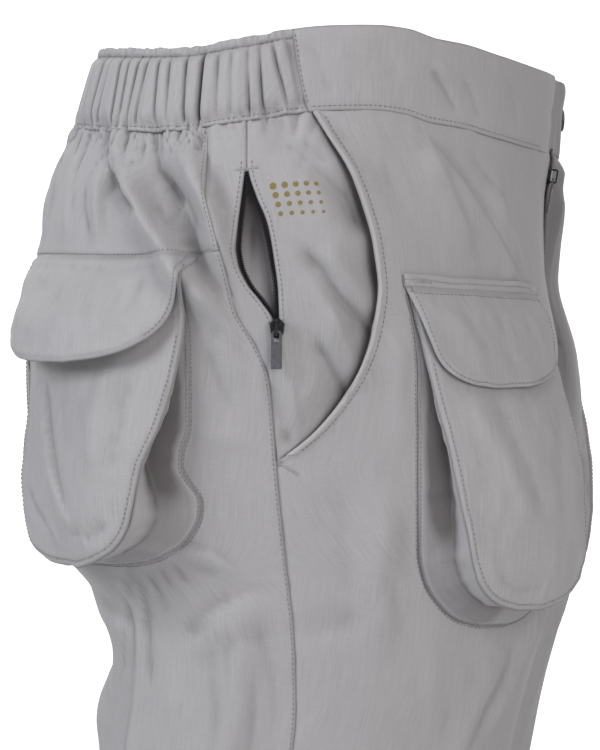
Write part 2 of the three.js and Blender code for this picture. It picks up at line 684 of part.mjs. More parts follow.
// The side zip's two tapes, joined past the ends of its slot, just under the side panel.
function sideZipTape(side) {
  const { lift, cloth, showing, hidden, gap } = SIDE_TAPE;
  const rows = [...YOKE_ROWS, ...HIP_ROWS].filter((z) => z <= ZIP_TOP && z >= ZIP_END);
  const middle = (z) => (zipRear(z) + zipFront(z)) / 2;
  return panel(side, {
    edges: [
      (z) => zipRear(z) - hidden,
      (z) => Math.min(zipRear(z) + showing, middle(z) - gap / 2),
      (z) => Math.max(zipFront(z) - showing, middle(z) + gap / 2),
      (z) => zipFront(z) + hidden,
    ],
    counts: [1, 1, 1],
    rows: [ZIP_TOP + 4, ...rows, ZIP_END - 5],
    lift: () => lift,
    cloth: () => cloth,
    isCloth: (row, column) => column !== 1 || row === 0 || row === rows.length,
  });
}

// The pocket's cloth behind the side zip hangs as a shallow pouch.
function sidePocketBag(side) {
  const { lift, cloth, deep, top, bottom, rear, front } = SIDE_BAG;
  const rows = Array.from({ length: 9 }, (_, i) => mix(top, bottom, i / 8));
  return panel(side, {
    edges: [() => rear, () => front],
    counts: [8],
    rows,
    lift: (angle, z) => {
      const across = Math.sin((Math.PI * (angle - rear)) / (front - rear));
      const down = Math.sin((Math.PI * (z - top)) / (bottom - top));
      return lift - deep * Math.max(across * down, 0) ** 0.6;
    },
    cloth: () => cloth,
  });
}

function flyTape() {
  return panel(SIDES[0], {
    edges: FLY_TAPE.reach.map((reach) => (z) => angleAtReach(z, reach)),
    counts: [2],
    rows: [BAND_SEAM - 4, ZIP_TOP, -78.5, -106, ZIP_END, -146],
    lift: () => FLY_TAPE.lift,
    cloth: () => FLY_TAPE.cloth,
  });
}

// The lift of a bellows pocket's face at an angle and height.
function faceLift(pocket) {
  const near = curve(pocket.rows, 'z', 'near');
  const far = curve(pocket.rows, 'z', 'far');
  const edge = curve(pocket.rows, 'z', 'lift');
  const swell = curve(pocket.rows, 'z', 'swell');
  return (angle, z) => {
    const across = THREE.MathUtils.clamp((angle - near(z)) / (far(z) - near(z)), 0, 1);
    return edge(z) + swell(z) * Math.sin(Math.PI * across);
  };
}

function patch(side, rows, lift) {
  const sheet = (depth) => rows.map(({ z, near, far, over = 0 }) => {
    const points = [];
    for (let i = 0; i <= POCKET_COLUMNS; i += 1) {
      const angle = mix(near, far, i / POCKET_COLUMNS);
      points.push(surface(side, angle, z, lift(angle, z) + over - depth));
    }
    return points;
  });
  return wallGeometry(sheet(0), sheet(CLOTH));
}

// The gusset joins the base seam to the face's edge round the sides and the bottom, with one pleat.
// Each spot on its way round knows the edge above, the seam below and a point inside the pocket.
function gusset(side, pocket) {
  const under = CLOTH + SEAM;
  const lift = faceLift(pocket);
  const spot = (row, share) => {
    const angle = mix(row.near, row.far, share);
    return {
      top: surface(side, angle, row.z, lift(angle, row.z) - under),
      base: surface(side, mix(row.baseNear, row.baseFar, share), row.baseZ, BASE_LIFT),
      inward: surface(side, mix(row.near, row.far, 0.5), row.z + INWARD_RISE, row.lift),
    };
  };
  const edge = [
    ...pocket.rows.map((row) => spot(row, 0)),
    spot(pocket.rows[pocket.rows.length - 1], 0.5),
    ...[...pocket.rows].reverse().map((row) => spot(row, 1)),
  ];
  const outer = edge.map(({ top, base, inward }) => {
    const tuck = Math.min(PLEAT, PLEAT_SHARE * top.distanceTo(base));
    const pleat = top.clone().lerp(base, 0.5);
    pleat.addScaledVector(inward.clone().sub(pleat).normalize(), tuck);
    return [top, pleat, base];
  });
  const inner = edge.map(({ inward }, i) => outer[i].map((point, column) => {
    const before = outer[Math.max(i - 1, 0)][column];
    const after = outer[Math.min(i + 1, edge.length - 1)][column];
    const normal = after.clone().sub(before).cross(outer[i][2].clone().sub(outer[i][0])).normalize();
    if (normal.dot(inward.clone().sub(point)) < 0) normal.negate();
    return point.clone().addScaledVector(normal, CLOTH);
  }));
  return wallGeometry(outer, inner);
}

// The rolled edge at the top of the front pocket, drawn as a soft bar along the panel.
function pocketHeader(side) {
  const { radius, lift, near, far, corners, sections } = HEADER;
  const rings = [];
  for (let i = 0; i <= sections; i += 1) {
    const angle = mix(near, far, i / sections);
    const ring = [];
    for (let j = 0; j < corners; j += 1) {
      const turn = (2 * Math.PI * (j + 0.5)) / corners;
      const z = HEADER.z + radius * Math.sin(turn);
      ring.push(surface(side, angle, z, lift + radius * Math.cos(turn)));
    }
    rings.push(ring);
  }
  return ringGeometry(rings);
}

function bellowsPocket(side, pocket) {
  const lift = faceLift(pocket);
  add(`${pocket.name}_gusset_${side.tag}`, gusset(side, pocket), PAINT.cloth);
  add(`${pocket.name}_face_${side.tag}`, patch(side, pocket.rows, lift), PAINT.cloth);
  add(`${pocket.name}_flap_${side.tag}`, patch(side, pocket.flap, lift), PAINT.cloth);
}

function solidOf(geometry) {
  const bare = geometry.clone();
  bare.deleteAttribute('normal');
  bare.deleteAttribute('uv');
  const merged = mergeVertices(bare, 1e-3);
  const vertProperties = new Float32Array(merged.attributes.position.array);
  const triVerts = new Uint32Array(merged.index.array);
  return new wasm.Manifold(new wasm.Mesh({ numProp: 3, vertProperties, triVerts }));
}

function unite(first, second) {
  const { vertProperties, triVerts } = solidOf(first).add(solidOf(second)).getMesh();
  return facingOut([...vertProperties], [...triVerts]);
}

// Zip sliders and their pull tabs are drawn flat: x across, y up the zip, z out of the cloth.
const SLIDER = { width: 7.6, length: 10, thick: 2.8, corner: 2.4 };
const BRIDGE = { width: 1.4, length: 8, bar: 1, window: 2.6 };
const TAB = { width: 5.6, length: 20, thick: 1.2, bevel: 1.4, rim: 0.6, eyeWidth: 2.8, eyeLength: 4.6 };
const PIVOT = { y: -1.8, z: SLIDER.thick + 1.35 };

function extrude(outline, depth) {
  return new THREE.ExtrudeGeometry(outline, { depth, bevelEnabled: false, curveSegments: 3 });
}

function outlineOf(points) {
  return new THREE.Shape(points.map(([x, y]) => new THREE.Vector2(x, y)));
}

function sliderGeometry() {
  const { width, length, thick, corner } = SLIDER;
  const [w, l] = [width / 2, length / 2];
  const body = extrude(outlineOf([
    [-w + corner, -l], [w - corner, -l], [w - 0.6, -l + corner], [w, l - corner],
    [w - corner, l], [-w + corner, l], [-w, l - corner], [-w + 0.6, -l + corner],
  ]), thick);
  const foot = BRIDGE.length / 2;
  const top = thick + BRIDGE.window + BRIDGE.bar;
  const arch = outlineOf([
    [-foot, thick - 0.4], [foot, thick - 0.4], [foot, top - 0.8], [foot - 0.8, top],
    [0.8 - foot, top], [-foot, top - 0.8],
  ]);
  const inside = foot - BRIDGE.bar;
  arch.holes.push(outlineOf([
    [-inside, thick], [-inside, thick + BRIDGE.window], [inside, thick + BRIDGE.window], [inside, thick],
  ]));
  const bridge = extrude(arch, BRIDGE.width);
  bridge.translate(0, 0, -BRIDGE.width / 2);
  const [x, y, z] = [new THREE.Vector3(1, 0, 0), new THREE.Vector3(0, 1, 0), new THREE.Vector3(0, 0, 1)];
  bridge.applyMatrix4(new THREE.Matrix4().makeBasis(y, z, x));
  return unite(body, bridge);
}

function tabGeometry() {
  const { width, length, thick, bevel, rim, eyeWidth, eyeLength } = TAB;
  const w = width / 2;
  const plate = outlineOf([
    [-w, rim - length], [w, rim - length], [w, rim - bevel],
    [w - bevel, rim], [bevel - w, rim], [-w, rim - bevel],
  ]);
  const e = eyeWidth / 2;
  plate.holes.push(outlineOf([[-e, -rim], [-e, -rim - eyeLength], [e, -rim - eyeLength], [e, -rim]]));
  const geometry = extrude(plate, thick);
  geometry.translate(0, 0, -thick / 2);
  return geometry;
}

// Sets a group on the cloth, facing out of it.
function seatOn(side, angle, z, lift) {
  const origin = surface(side, angle, z, lift);
  const out = surface(side, angle, z, lift + 1).sub(origin).normalize();
  const up = new THREE.Vector3(0, 0, 1).addScaledVector(out, -out.z).normalize();
  const across = up.clone().cross(out);
  const group = new THREE.Group();
  group.position.copy(origin);
  group.quaternion.setFromRotationMatrix(new THREE.Matrix4().makeBasis(across, up, out));
  garment.add(group);
  return group;
}

function zipSlider(name, tag, seat) {
  add(`${name}_slider${tag}`, sliderGeometry(), PAINT.slider, seat);
  const tab = add(`${name}_tab${tag}`, tabGeometry(), PAINT.tab, seat);
  tab.position.set(0, PIVOT.y, PIVOT.z);
}

function pressStud() {
  const { reach, z, lift, radius, thick, bevel } = STUD;
  const profile = [[0, 0], [radius, 0], [radius, thick - bevel / 2], [radius - bevel, thick], [0, thick]];
  const geometry = new THREE.LatheGeometry(profile.map(([x, y]) => new THREE.Vector2(x, y)), 16);
  geometry.rotateX(Math.PI / 2);
  add('waistband_snap', geometry, PAINT.snap, seatOn(SIDES[1], angleAtReach(z, reach), z, lift));
}

add('waistband_back', waistbandBack(), PAINT.cloth);
waistbandFronts();
pressStud();
add('fly_zip_tape', flyTape(), PAINT.tape);
const flyAngle = angleAtReach(FLY_SLIDER.z, FLY_SLIDER.reach);
zipSlider('fly', '', seatOn(SIDES[0], flyAngle, FLY_SLIDER.z, FLY_SLIDER.lift));

for (const side of SIDES) {
  add(`back_yoke_${side.tag}`, hipYoke(side), PAINT.cloth);
  add(`back_leg_${side.tag}`, backLeg(side), PAINT.cloth);
  add(`front_leg_${side.tag}`, frontLeg(side), PAINT.cloth);
  add(`side_panel_${side.tag}`, sidePanel(side), PAINT.cloth);
  add(`curved_binding_${side.tag}`, curvedBinding(side), PAINT.binding);
  add(`side_zip_tape_${side.tag}`, sideZipTape(side), PAINT.tape);
  add(`side_pocket_bag_${side.tag}`, sidePocketBag(side), PAINT.inside);
  const seat = seatOn(side, SIDE_SLIDER.angle, SIDE_SLIDER.z, SIDE_SLIDER.lift);
  zipSlider('side_zip', `_${side.tag}`, seat);
  bellowsPocket(side, FRONT_POCKET);
  bellowsPocket(side, BACK_POCKET);
  add(`front_pocket_header_${side.tag}`, pocketHeader(side), PAINT.cloth);
}

export default garment;
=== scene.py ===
import math

import bpy
import numpy as np
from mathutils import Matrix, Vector
from mathutils.bvhtree import BVHTree


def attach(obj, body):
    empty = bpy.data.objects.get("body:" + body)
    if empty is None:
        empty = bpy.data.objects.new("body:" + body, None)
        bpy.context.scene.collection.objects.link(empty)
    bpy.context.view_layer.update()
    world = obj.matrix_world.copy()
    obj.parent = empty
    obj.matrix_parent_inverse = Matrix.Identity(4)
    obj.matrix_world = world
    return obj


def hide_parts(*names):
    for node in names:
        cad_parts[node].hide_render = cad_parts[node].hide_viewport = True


# Track pants, dressed over their rigid model. Millimetres until a mesh is made. +Z up, the front
# towards -Y, the wearer's right towards -X. Angles go round a leg from 0 at its outer side to 90 in
# front and -90 behind.

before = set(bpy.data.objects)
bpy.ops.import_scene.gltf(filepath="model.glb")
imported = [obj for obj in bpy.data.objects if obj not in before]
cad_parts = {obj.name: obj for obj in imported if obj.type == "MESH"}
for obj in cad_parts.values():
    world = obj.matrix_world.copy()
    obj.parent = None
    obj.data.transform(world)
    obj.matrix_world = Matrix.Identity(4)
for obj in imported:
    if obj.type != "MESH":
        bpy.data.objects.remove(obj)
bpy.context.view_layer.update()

WAIST_TOP, BAND_SEAM, YOKE_SEAM, CROTCH, HEM = 22, -22, -93, -262, -1008
BAND_HEIGHT = WAIST_TOP - BAND_SEAM
UNDER_BAND = -17.6  # where the cloth that runs up under the band ends
HEM_DEPTH, HEM_ROW = 25, 21.5  # how far up the hem is turned, and the height of its row of stitches
SIDE_LAP, CENTRE_LAP, BUTT = 4.4, 3.5, 0.5  # mm that an edge runs on under its neighbour, or past a seam
CLOTH, BAND_THICK, FLAP_THICK, THIN = 1.2, 2.0, 1.9, 0.8
SQUARENESS = 0.93
LEG_MIDDLE, MIDDLE_POWER, INNER_POWER, WAIST_SHARE = 96, 1.2, -1, 1e-4
DIP_FADES_AT = -170
ARC_RADIUS = 150  # turns an angle into a length round the form
BAND_RADIUS = 170  # the same for the band's gathers
FOLD_TAPER = 24
CALM_NEAR_CENTRE = 28  # mm from the centre plane within which the folds fade
UNEVEN_FROM = (-10, -60)  # the heights between which the cloth's unevenness sets in
FRONT_CURVE_END = -202.5
ZIP_TOP, ZIP_END = -50, -131
FLY_END = -162

FORM = [  # z, side, front, back, centre
    (22, 171, 134, 126, 0), (-22, 177, 131, 138, 2), (-50, 183, 127, 148, 4), (-92, 189, 126, 156, 6),
    (-150, 192, 135, 159, 4), (-200, 192, 139, 154, 2), (-250, 191, 136, 134, -2),
    (-295, 189, 130, 102, -6), (-330, 188, 121, 105, -4), (-363, 187, 113, 110, 0),
    (-500, 178, 92, 104, 6), (-650, 170, 76, 95, 10), (-800, 166, 62, 92, 15), (-920, 162, 48, 88, 20),
    (-1008, 160, 42, 86, 22),
]
LEG = [  # z, middle, inner
    (-262, 96, 96), (-300, 96.5, 93.5), (-363, 97.5, 91), (-500, 100, 80), (-650, 102, 69),
    (-800, 104, 62), (-1008, 104, 57),
]
WAIST_DIP = [  # angle, dip
    (-90, 3), (-64, -0.7), (-47, -4.5), (-33, -7), (-22, -8), (-12, -5.5), (-4, -3), (1, -0.6), (10, 1.5),
    (20, 2), (27, 0.5), (34, -3.8), (42, -5.8), (53, -10), (69, -13.6), (90, -15),
]
SIDE_SEAM = [  # z, angle
    (-22, -15), (-60, -11.5), (-98, -7.2), (-125, -5.5), (-145, -2), (-160, -0.4), (-200, 0.2),
    (-290, 0.6), (-354, 2.4), (-1008, 2),
]
FRONT_CURVE = [  # z, angle
    (-22, 6.7), (-33, 9.9), (-50, 15.1), (-71, 19.7), (-92, 22.6), (-111, 23.4), (-136, 21.2),
    (-149, 19.2), (-164, 15.9), (-180, 11), (-191, 6.8), (-202.5, 1.2),
]
ZIP_REAR = [  # z, angle
    (-22, -6.4), (-50, -4.9), (-90, -5.2), (-100, -4.7), (-112, -3), (-120, -1.1), (-131, 0.8),
    (-146, 1.4), (-178, 1.5), (-202.5, 0.55),
]
ZIP_FRONT = [  # z, angle
    (-22, -5.7), (-50, -4.2), (-64, -2.3), (-78, -0.2), (-100, 1.3), (-116, 1.9), (-131, 1.9),
    (-146, 2.6), (-178, 4.2), (-190, 3.4), (-202.5, 0.85),
]
ELASTIC_END = [(22, 1.6), (-8, 4), (-22, 5.8)]  # z, angle
FLY_RIGHT = [(-22, 34), (-60, 32), (-110, 30), (-135, 20), (-150, 9), (-162, 0.15)]  # z, reach
FLY_LEFT = [(-22, 16), (-110, 16), (-135, 9), (-150, 2), (-162, -0.15)]  # z, reach
BAND_END = [(22, 27), (4, 34), (-22, 43)]  # z, reach
FOLDS = [  # path of (angle, z), height, width, and the left side's shift and share of the height
    ([(-31, -40), (-24, -73), (-19, -87), (-13.5, -108), (-6.5, -133)], 8, 9, -7, 0.8),
    ([(-19, -26), (-9.5, -73), (-7.5, -92), (-6.5, -112)], 5, 7, 6, 0.7),
    ([(-24, -40), (-15, -80), (-10, -112)], -4, 6, 0, 0.9),
    ([(-42, -30), (-38, -88)], 3, 6, 5, 1.1),
    ([(-54, -30), (-50, -84)], 2.5, 6, -4, 1),
    ([(-68, -30), (-66, -86)], 2.5, 7, 0, 1.2),
    ([(9, -98), (14, -140), (19, -168)], 3, 8, 8, 0.8),
    ([(33, -34), (42, -66), (50, -92)], 3, 9, -6, 1.1),
    ([(56, -42), (60, -70), (70, -96)], 2.5, 8, 5, 0.8),
    ([(-26, -292), (-14, -282), (-2, -272)], 5, 9, -10, 0.9),
    ([(-12, -286), (-11, -330), (-13, -390)], 5, 12, 12, 0.8),
    ([(62, -300), (54, -330), (48, -372)], 5, 12, -8, 0.9),
    ([(24, -226), (20, -268), (22, -310)], 3, 10, 10, 0.7),
    ([(100, -214), (75, -300), (62, -350)], 5, 14, 6, 1),
    ([(-110, -262), (-80, -286), (-52, -296)], 6, 12, -6, 0.9),
    ([(-120, -292), (-90, -330), (-66, -350)], 5, 12, 8, 1),
    ([(40, -468), (80, -492), (120, -486)], 5, 15, 14, 0.9),
    ([(-20, -500), (-60, -522), (-110, -508)], 7, 16, -12, 0.8),
    ([(-70, -556), (-110, -540), (-150, -560)], 6, 15, 10, 1),
    ([(10, -560), (50, -590), (95, -575)], 5, 15, -10, 1.1),
    ([(-30, -640), (-70, -700), (-100, -780)], 5, 18, 16, 0.8),
    ([(30, -700), (60, -780), (75, -860)], 5, 18, -14, 0.9),
    ([(-30, -880), (-80, -906), (-130, -894)], 6, 15, 8, 1),
    ([(10, -906), (60, -940), (110, -924)], 6, 14, -9, 0.9),
    ([(-60, -956), (-100, -966), (-150, -950)], 5, 12, 6, 1),
]
FRONT_FACE = [  # z, near, far, lift, swell, baseZ, baseNear, baseFar
    (-117, 30.3, 77, 7, 1.5, -117, 29.8, 78.5), (-136, 31.2, 76.5, 8, 2, -136, 30.7, 79),
    (-154, 31.8, 76, 10, 3, -154, 30.8, 79), (-172, 32.6, 75.5, 12.5, 3, -172, 30.4, 79.5),
    (-190, 33.6, 75, 16.5, 3, -190, 30.2, 80), (-208, 34.8, 74.5, 20.5, 3, -210, 30, 80),
    (-226, 36, 73.5, 24.5, 3, -230, 30, 80), (-243, 37.3, 72.5, 28.5, 2, -250, 30, 79.5),
    (-257, 38.4, 71, 31, 2, -266, 31.5, 78), (-267, 40.5, 67.5, 32, 1, -278, 35.5, 74),
    (-275, 44.5, 61.5, 31.5, 0.5, -287, 42, 67), (-278, 49.5, 56.5, 31, 0, -290, 49, 59),
]
BACK_FACE = [  # z, near, far, lift, swell, baseZ, baseNear, baseFar
    (-101, -15.8, -70, 6, 3, -101, -15, -72), (-109, -15.8, -70, 6.2, 5, -109, -14.9, -72),
    (-118, -15.9, -70, 6.5, 8, -118, -14.8, -72), (-138, -16.5, -70, 8, 13, -138, -14.8, -73),
    (-156, -17.6, -69.5, 11, 13, -156, -15, -74), (-173, -19.1, -69, 14.5, 11, -173, -15.4, -74),
    (-190, -21.3, -68.5, 18.5, 8, -190, -16.2, -74), (-206, -24.2, -67.5, 22, 5, -206, -16.9, -74),
    (-221, -26.2, -66.5, 25, 3, -221, -17.5, -74), (-235, -28.6, -65, 27.5, 1, -236, -19.5, -73),
    (-246, -32.6, -62, 28.5, 0.5, -248, -24.5, -70), (-252, -38.5, -57, 28.5, 0, -256, -32, -65),
    (-254, -44.5, -51, 28, 0, -259, -42, -56),
]

# Finer creases of the right side: path of (angle, z), height, width on the side of larger angles,
# width on the other side (for a path that runs down), and the length it rises over.
CREASES = [
    ([(-71, -16), (-64, -40), (-63, -62)], 2.2, 5, 4, 12),
    ([(-56.5, -14), (-53, -47), (-50, -73)], -3.8, 3.4, 4, 14),
    ([(-48, -14), (-40, -45), (-31.6, -61), (-24.5, -71)], -4.6, 2.2, 7, 12),
    ([(-43, -16), (-36, -45), (-27, -62)], 2.2, 5, 4, 12),
    ([(-37, -20), (-31, -50), (-22.8, -71), (-16.5, -92), (-10.7, -112), (-7.3, -126)], 1.8, 2.5, 6, 16),
    ([(-25, -16), (-17.6, -44), (-10.4, -68), (-5.7, -102), (-2.4, -118)], 1.6, 2.5, 6, 16),
    ([(-32, -14), (-25.2, -43), (-16.3, -63), (-12, -84)], -3.6, 3, 3.4, 14),
    ([(-40.8, -82), (-46, -66), (-48.7, -51)], -1.6, 5, 3, 10),
    ([(-42.3, -13), (-40.6, -33)], -2.0, 2, 2, 8),
    ([(-39.5, -13), (-35.7, -37)], -2.2, 2, 2, 9),
    ([(-34.2, -13), (-29.6, -40)], -1.8, 2.2, 2, 9),
    ([(-29.4, -13), (-25, -38)], -1.9, 2, 2, 8),
    ([(-23.4, -13), (-20.3, -35)], -1.6, 2, 2, 8),
    ([(-20.9, -13), (-17.9, -33)], -1.3, 1.8, 2, 7),
    ([(-18.1, -13), (-14.1, -42)], -1.7, 2, 2.4, 9),
    ([(-62, -13), (-59.5, -38)], -1.9, 2.2, 2, 9),
    ([(-66.5, -13), (-66, -31)], -1.5, 2, 2, 7),
    ([(-76, -13), (-75, -46)], -2.1, 3, 2.4, 11),
    ([(-82, -13), (-80.5, -36)], -1.7, 2.2, 2, 8),
    ([(-88, -13), (-87, -52)], -1.8, 2.6, 3, 12),
    ([(-51.5, -13), (-49.5, -34)], -1.5, 2, 1.8, 8),
    ([(-1.2, -14), (1.9, -38), (8.2, -52), (16.1, -66), (21.2, -88)], -3.4, 3, 6, 14),
    ([(4, -30), (12, -46), (20, -62)], 1.6, 5, 5, 12),
    ([(6.5, -93), (11.3, -105), (14.6, -119), (20, -132), (21.8, -137)], -5.2, 2.6, 7, 12),
    ([(11, -92), (16, -106), (20.5, -120)], 2.2, 6, 4, 12),
    ([(8.2, -139), (11.5, -155), (15.7, -173)], -4.4, 3, 7, 10),
    ([(2, -136), (3.5, -158), (4.6, -184), (5.4, -194)], 1.8, 2, 5, 10),
    ([(-0.3, -160), (1.3, -182), (3, -198)], -2.6, 2.5, 3, 8),
    ([(2.4, -16), (4.3, -37), (11.9, -51)], -1.5, 2.5, 4, 8),
    ([(-2.8, -14), (-1.5, -35)], -1.5, 2, 2, 8),
    ([(0.6, -14), (2.7, -34)], 1.2, 2, 3, 8),
    ([(12.4, -121), (15.9, -144), (17.7, -157)], 1.8, 6, 4, 12),
    ([(32.8, -33), (43.5, -51), (52.7, -70), (64, -99), (68.4, -107)], 3.4, 3.2, 9, 18),
    ([(37, -30), (48, -49), (58, -68), (67, -90)], -1.5, 5, 4, 16),
    ([(46.6, -34), (54.3, -47), (61.6, -57)], -1.6, 3, 6, 10),
    ([(23.8, -48), (28.6, -67), (32.2, -77)], -1.6, 5, 7, 12),
    ([(11.4, -31), (16.8, -41), (23.3, -52)], -1.2, 4, 5, 10),
    ([(27.4, -136), (25.8, -172), (26.8, -198)], 1.4, 6, 8, 16),
    ([(0.6, -291), (4.8, -292), (10.8, -288), (16, -281)], -1.7, 8, 7, 14),
    ([(21, -213), (21.6, -244), (24.2, -276)], 1.6, 9, 9, 20),
    ([(33.8, -297), (37.6, -328), (39.7, -355)], 1.8, 7, 7, 16),
    ([(13.6, -208), (11.4, -244), (12.4, -275)], -1.4, 9, 9, 20),
    ([(-33, -297), (-24.9, -289), (-19.5, -284), (-9, -276), (-1, -270)], -2.4, 7, 9, 16),
    ([(-30, -305), (-18, -294), (-6, -285)], 1.6, 6, 6, 14),
    ([(-29, -251), (-19.6, -252), (-14.3, -254), (-10.4, -263)], 2.6, 3, 5, 10),
    ([(-15.7, -276), (-17.4, -307), (-14, -354), (-13, -420)], 1.6, 3, 5, 20),
    ([(-15.5, -92), (-12.4, -104), (-9, -118), (-5.2, -134)], -2.2, 5, 1.6, 8),
    ([(-52, -262), (-50, -300), (-49, -360), (-47, -430)], 2.4, 7, 3, 18),
    ([(-11.7, -140), (-9.6, -159), (-6.1, -180)], -1.4, 4, 6, 12),
    ([(-15.1, -188), (-8.2, -192), (-0.7, -198)], 1.2, 6, 6, 12),
    ([(-42, -262), (-56, -290), (-62.3, -322)], -1.4, 4, 5, 14),
    ([(-38.5, -262), (-46.6, -291), (-43, -325)], -1.5, 4, 4, 14),
    ([(-33.8, -260), (-35.6, -285)], -1.3, 3, 3, 10),
    ([(-29.7, -258), (-27.9, -276)], -1.2, 3, 3, 8),
    ([(-25.5, -257), (-22.5, -272)], -1.4, 2.2, 2.4, 7),
    ([(-38.5, -255), (-44.5, -272)], -1.2, 3, 3, 8),
    ([(-6, -119), (-7.3, -143), (-5, -167)], 1.4, 4, 5, 14),
    ([(-34.5, -324), (-29.7, -350)], 1.3, 4, 4, 10),
    ([(-8.5, -297), (-5.7, -328), (-5.2, -354)], 1.1, 4, 5, 16),
    ([(60, -430), (85, -450), (110, -446)], -2.4, 5, 8, 16),
    ([(-60, -470), (-95, -486), (-130, -478)], -3, 5, 9, 18),
    ([(-40, -520), (-80, -536), (-120, -526)], 2.6, 6, 5, 18),
    ([(20, -520), (55, -536), (90, -530)], -2, 6, 9, 18),
    ([(130, -470), (150, -500), (165, -520)], 2, 6, 8, 16),
    ([(-165, -430), (-140, -462), (-120, -470)], -2, 5, 8, 16),
    ([(0, -600), (4, -700), (0, -820)], 1.8, 9, 12, 40),
    ([(-90, -620), (-96, -720), (-90, -840)], -1.8, 9, 12, 40),
    ([(90, -640), (84, -760), (90, -860)], 1.6, 10, 12, 40),
    ([(-140, -930), (-90, -950), (-40, -938)], -2.6, 5, 9, 18),
    ([(30, -900), (80, -922), (130, -914)], -2.2, 5, 9, 18),
    ([(-60, -965), (-20, -975), (20, -968)], 1.8, 5, 7, 14),
    ([(100, -955), (140, -968), (170, -960)], 1.8, 5, 7, 14),
]

# The elastic's gathers on the right, where they are plain to see: angle at the top of the band,
# angle at its seam, and how deep each is. Behind, the gathers follow each other at a pitch.
GATHERS = [
    (-63.5, -63, 1.0), (-59.6, -60.2, 0.7), (-55.4, -56.4, 1.3), (-50.8, -52, 1.2), (-46.2, -44, 1.5),
    (-42.2, -41, 1.0), (-38, -38.2, 1.6), (-34.8, -35.4, 1.2), (-31.4, -28.8, 1.5), (-27.9, -25.2, 0.9),
    (-22.8, -20.8, 1.3), (-18.1, -17.2, 2.6), (-14.4, -12.6, 0.8), (-11, -9.4, 0.5), (-7.4, -5.4, 1.2),
    (-4.8, -2.6, 1.3), (-2.4, 2, 1.2), (0.2, 4.4, 0.9),
]
HIDDEN_GATHER_PITCH, HIDDEN_GATHERS_TO = 3.3, -94  # degrees


def curve(points):
    """A monotone cubic through (x, y) points, flat beyond its ends."""
    xs, ys = (np.array(v, float) for v in zip(*sorted(points)))
    slopes = np.diff(ys) / np.diff(xs)
    gaps = np.diff(xs)
    tangents = np.empty_like(ys)
    tangents[0], tangents[-1] = slopes[0], slopes[-1]
    for i in range(1, len(xs) - 1):
        before, after = slopes[i - 1], slopes[i]
        left, right = gaps[i - 1], gaps[i]
        if before * after <= 0:
            tangents[i] = 0
        else:
            tangents[i] = 3 * (left + right) / ((2 * right + left) / before + (right + 2 * left) / after)

    def at(x):
        x = np.clip(np.asarray(x, float), xs[0], xs[-1])
        i = np.clip(np.searchsorted(xs, x, side="right") - 1, 0, len(xs) - 2)
        t = (x - xs[i]) / gaps[i]
        rise = ys[i] * (1 + 2 * t) + gaps[i] * tangents[i] * t
        fall = ys[i + 1] * (3 - 2 * t) + gaps[i] * tangents[i + 1] * (t - 1)
        return rise * (1 - t) ** 2 + fall * t**2

    return at


def column(table, index, along=0):
    return curve([(row[along], row[index]) for row in table])


form_side, form_front, form_back, form_centre = (column(FORM, i) for i in (1, 2, 3, 4))
leg_middle, leg_inner = column(LEG, 1), column(LEG, 2)
waist_dip = column(WAIST_DIP, 1)
side_seam = column(SIDE_SEAM, 1)
front_curve = column(FRONT_CURVE, 1)
zip_rear, zip_front = column(ZIP_REAR, 1), column(ZIP_FRONT, 1)
elastic_end = column(ELASTIC_END, 1)
fly_right, fly_left, band_end = column(FLY_RIGHT, 1), column(FLY_LEFT, 1), column(BAND_END, 1)


def smoothstep(x, low, high):
    t = np.clip((np.asarray(x, float) - low) / (high - low), 0, 1)
    return t * t * (3 - 2 * t)


def bell(x, width):
    return np.exp(-((np.asarray(x, float) / width) ** 2))


def section_at(z):
    down = np.clip((WAIST_TOP - z) / (WAIST_TOP - CROTCH), WAIST_SHARE, 1)
    above = z >= CROTCH
    middle = np.where(above, LEG_MIDDLE * down**MIDDLE_POWER, leg_middle(z))
    inner = np.where(above, LEG_MIDDLE * down**INNER_POWER, leg_inner(z))
    return middle, inner, form_side(z) - middle


def form_point(angle, z):
    """A point of the plain form. x is its distance from the centre plane."""
    angle, z = np.broadcast_arrays(np.asarray(angle, float), np.asarray(z, float))
    middle, inner, outer = section_at(z)
    cosine, sine = np.cos(np.radians(angle)), np.sin(np.radians(angle))
    centre = form_centre(z)
    depth = np.where(sine >= 0, form_front(z) + centre, form_back(z) - centre)
    x = middle + np.where(cosine >= 0, outer, inner) * np.sign(cosine) * np.abs(cosine) ** SQUARENESS
    y = centre - depth * np.sign(sine) * np.abs(sine) ** SQUARENESS
    fade = smoothstep(z, DIP_FADES_AT, 0)
    return np.stack([x, y, z + waist_dip(angle) * fade], axis=-1)


def angle_at_reach(z, reach):
    """The angle at which the section is that far from the centre plane, in front."""
    middle, inner, outer = section_at(np.asarray(z, float))
    offset = reach - middle
    share = np.minimum(np.abs(offset / np.where(offset > 0, outer, inner)), 1)
    return np.degrees(np.arccos(np.sign(offset) * share ** (1 / SQUARENESS)))


def centre_angle(z):
    z = np.asarray(z, float)
    return np.where(z > CROTCH, angle_at_reach(np.maximum(z, CROTCH), 0), 180)


def degrees_per_mm(angle, z):
    return 1 / np.linalg.norm(form_point(angle + 0.5, z) - form_point(angle - 0.5, z), axis=-1)


def lattice(i, j, seed):
    h = np.sin(i * 127.1 + j * 311.7 + seed * 74.7) * 43758.5453
    return h - np.floor(h)


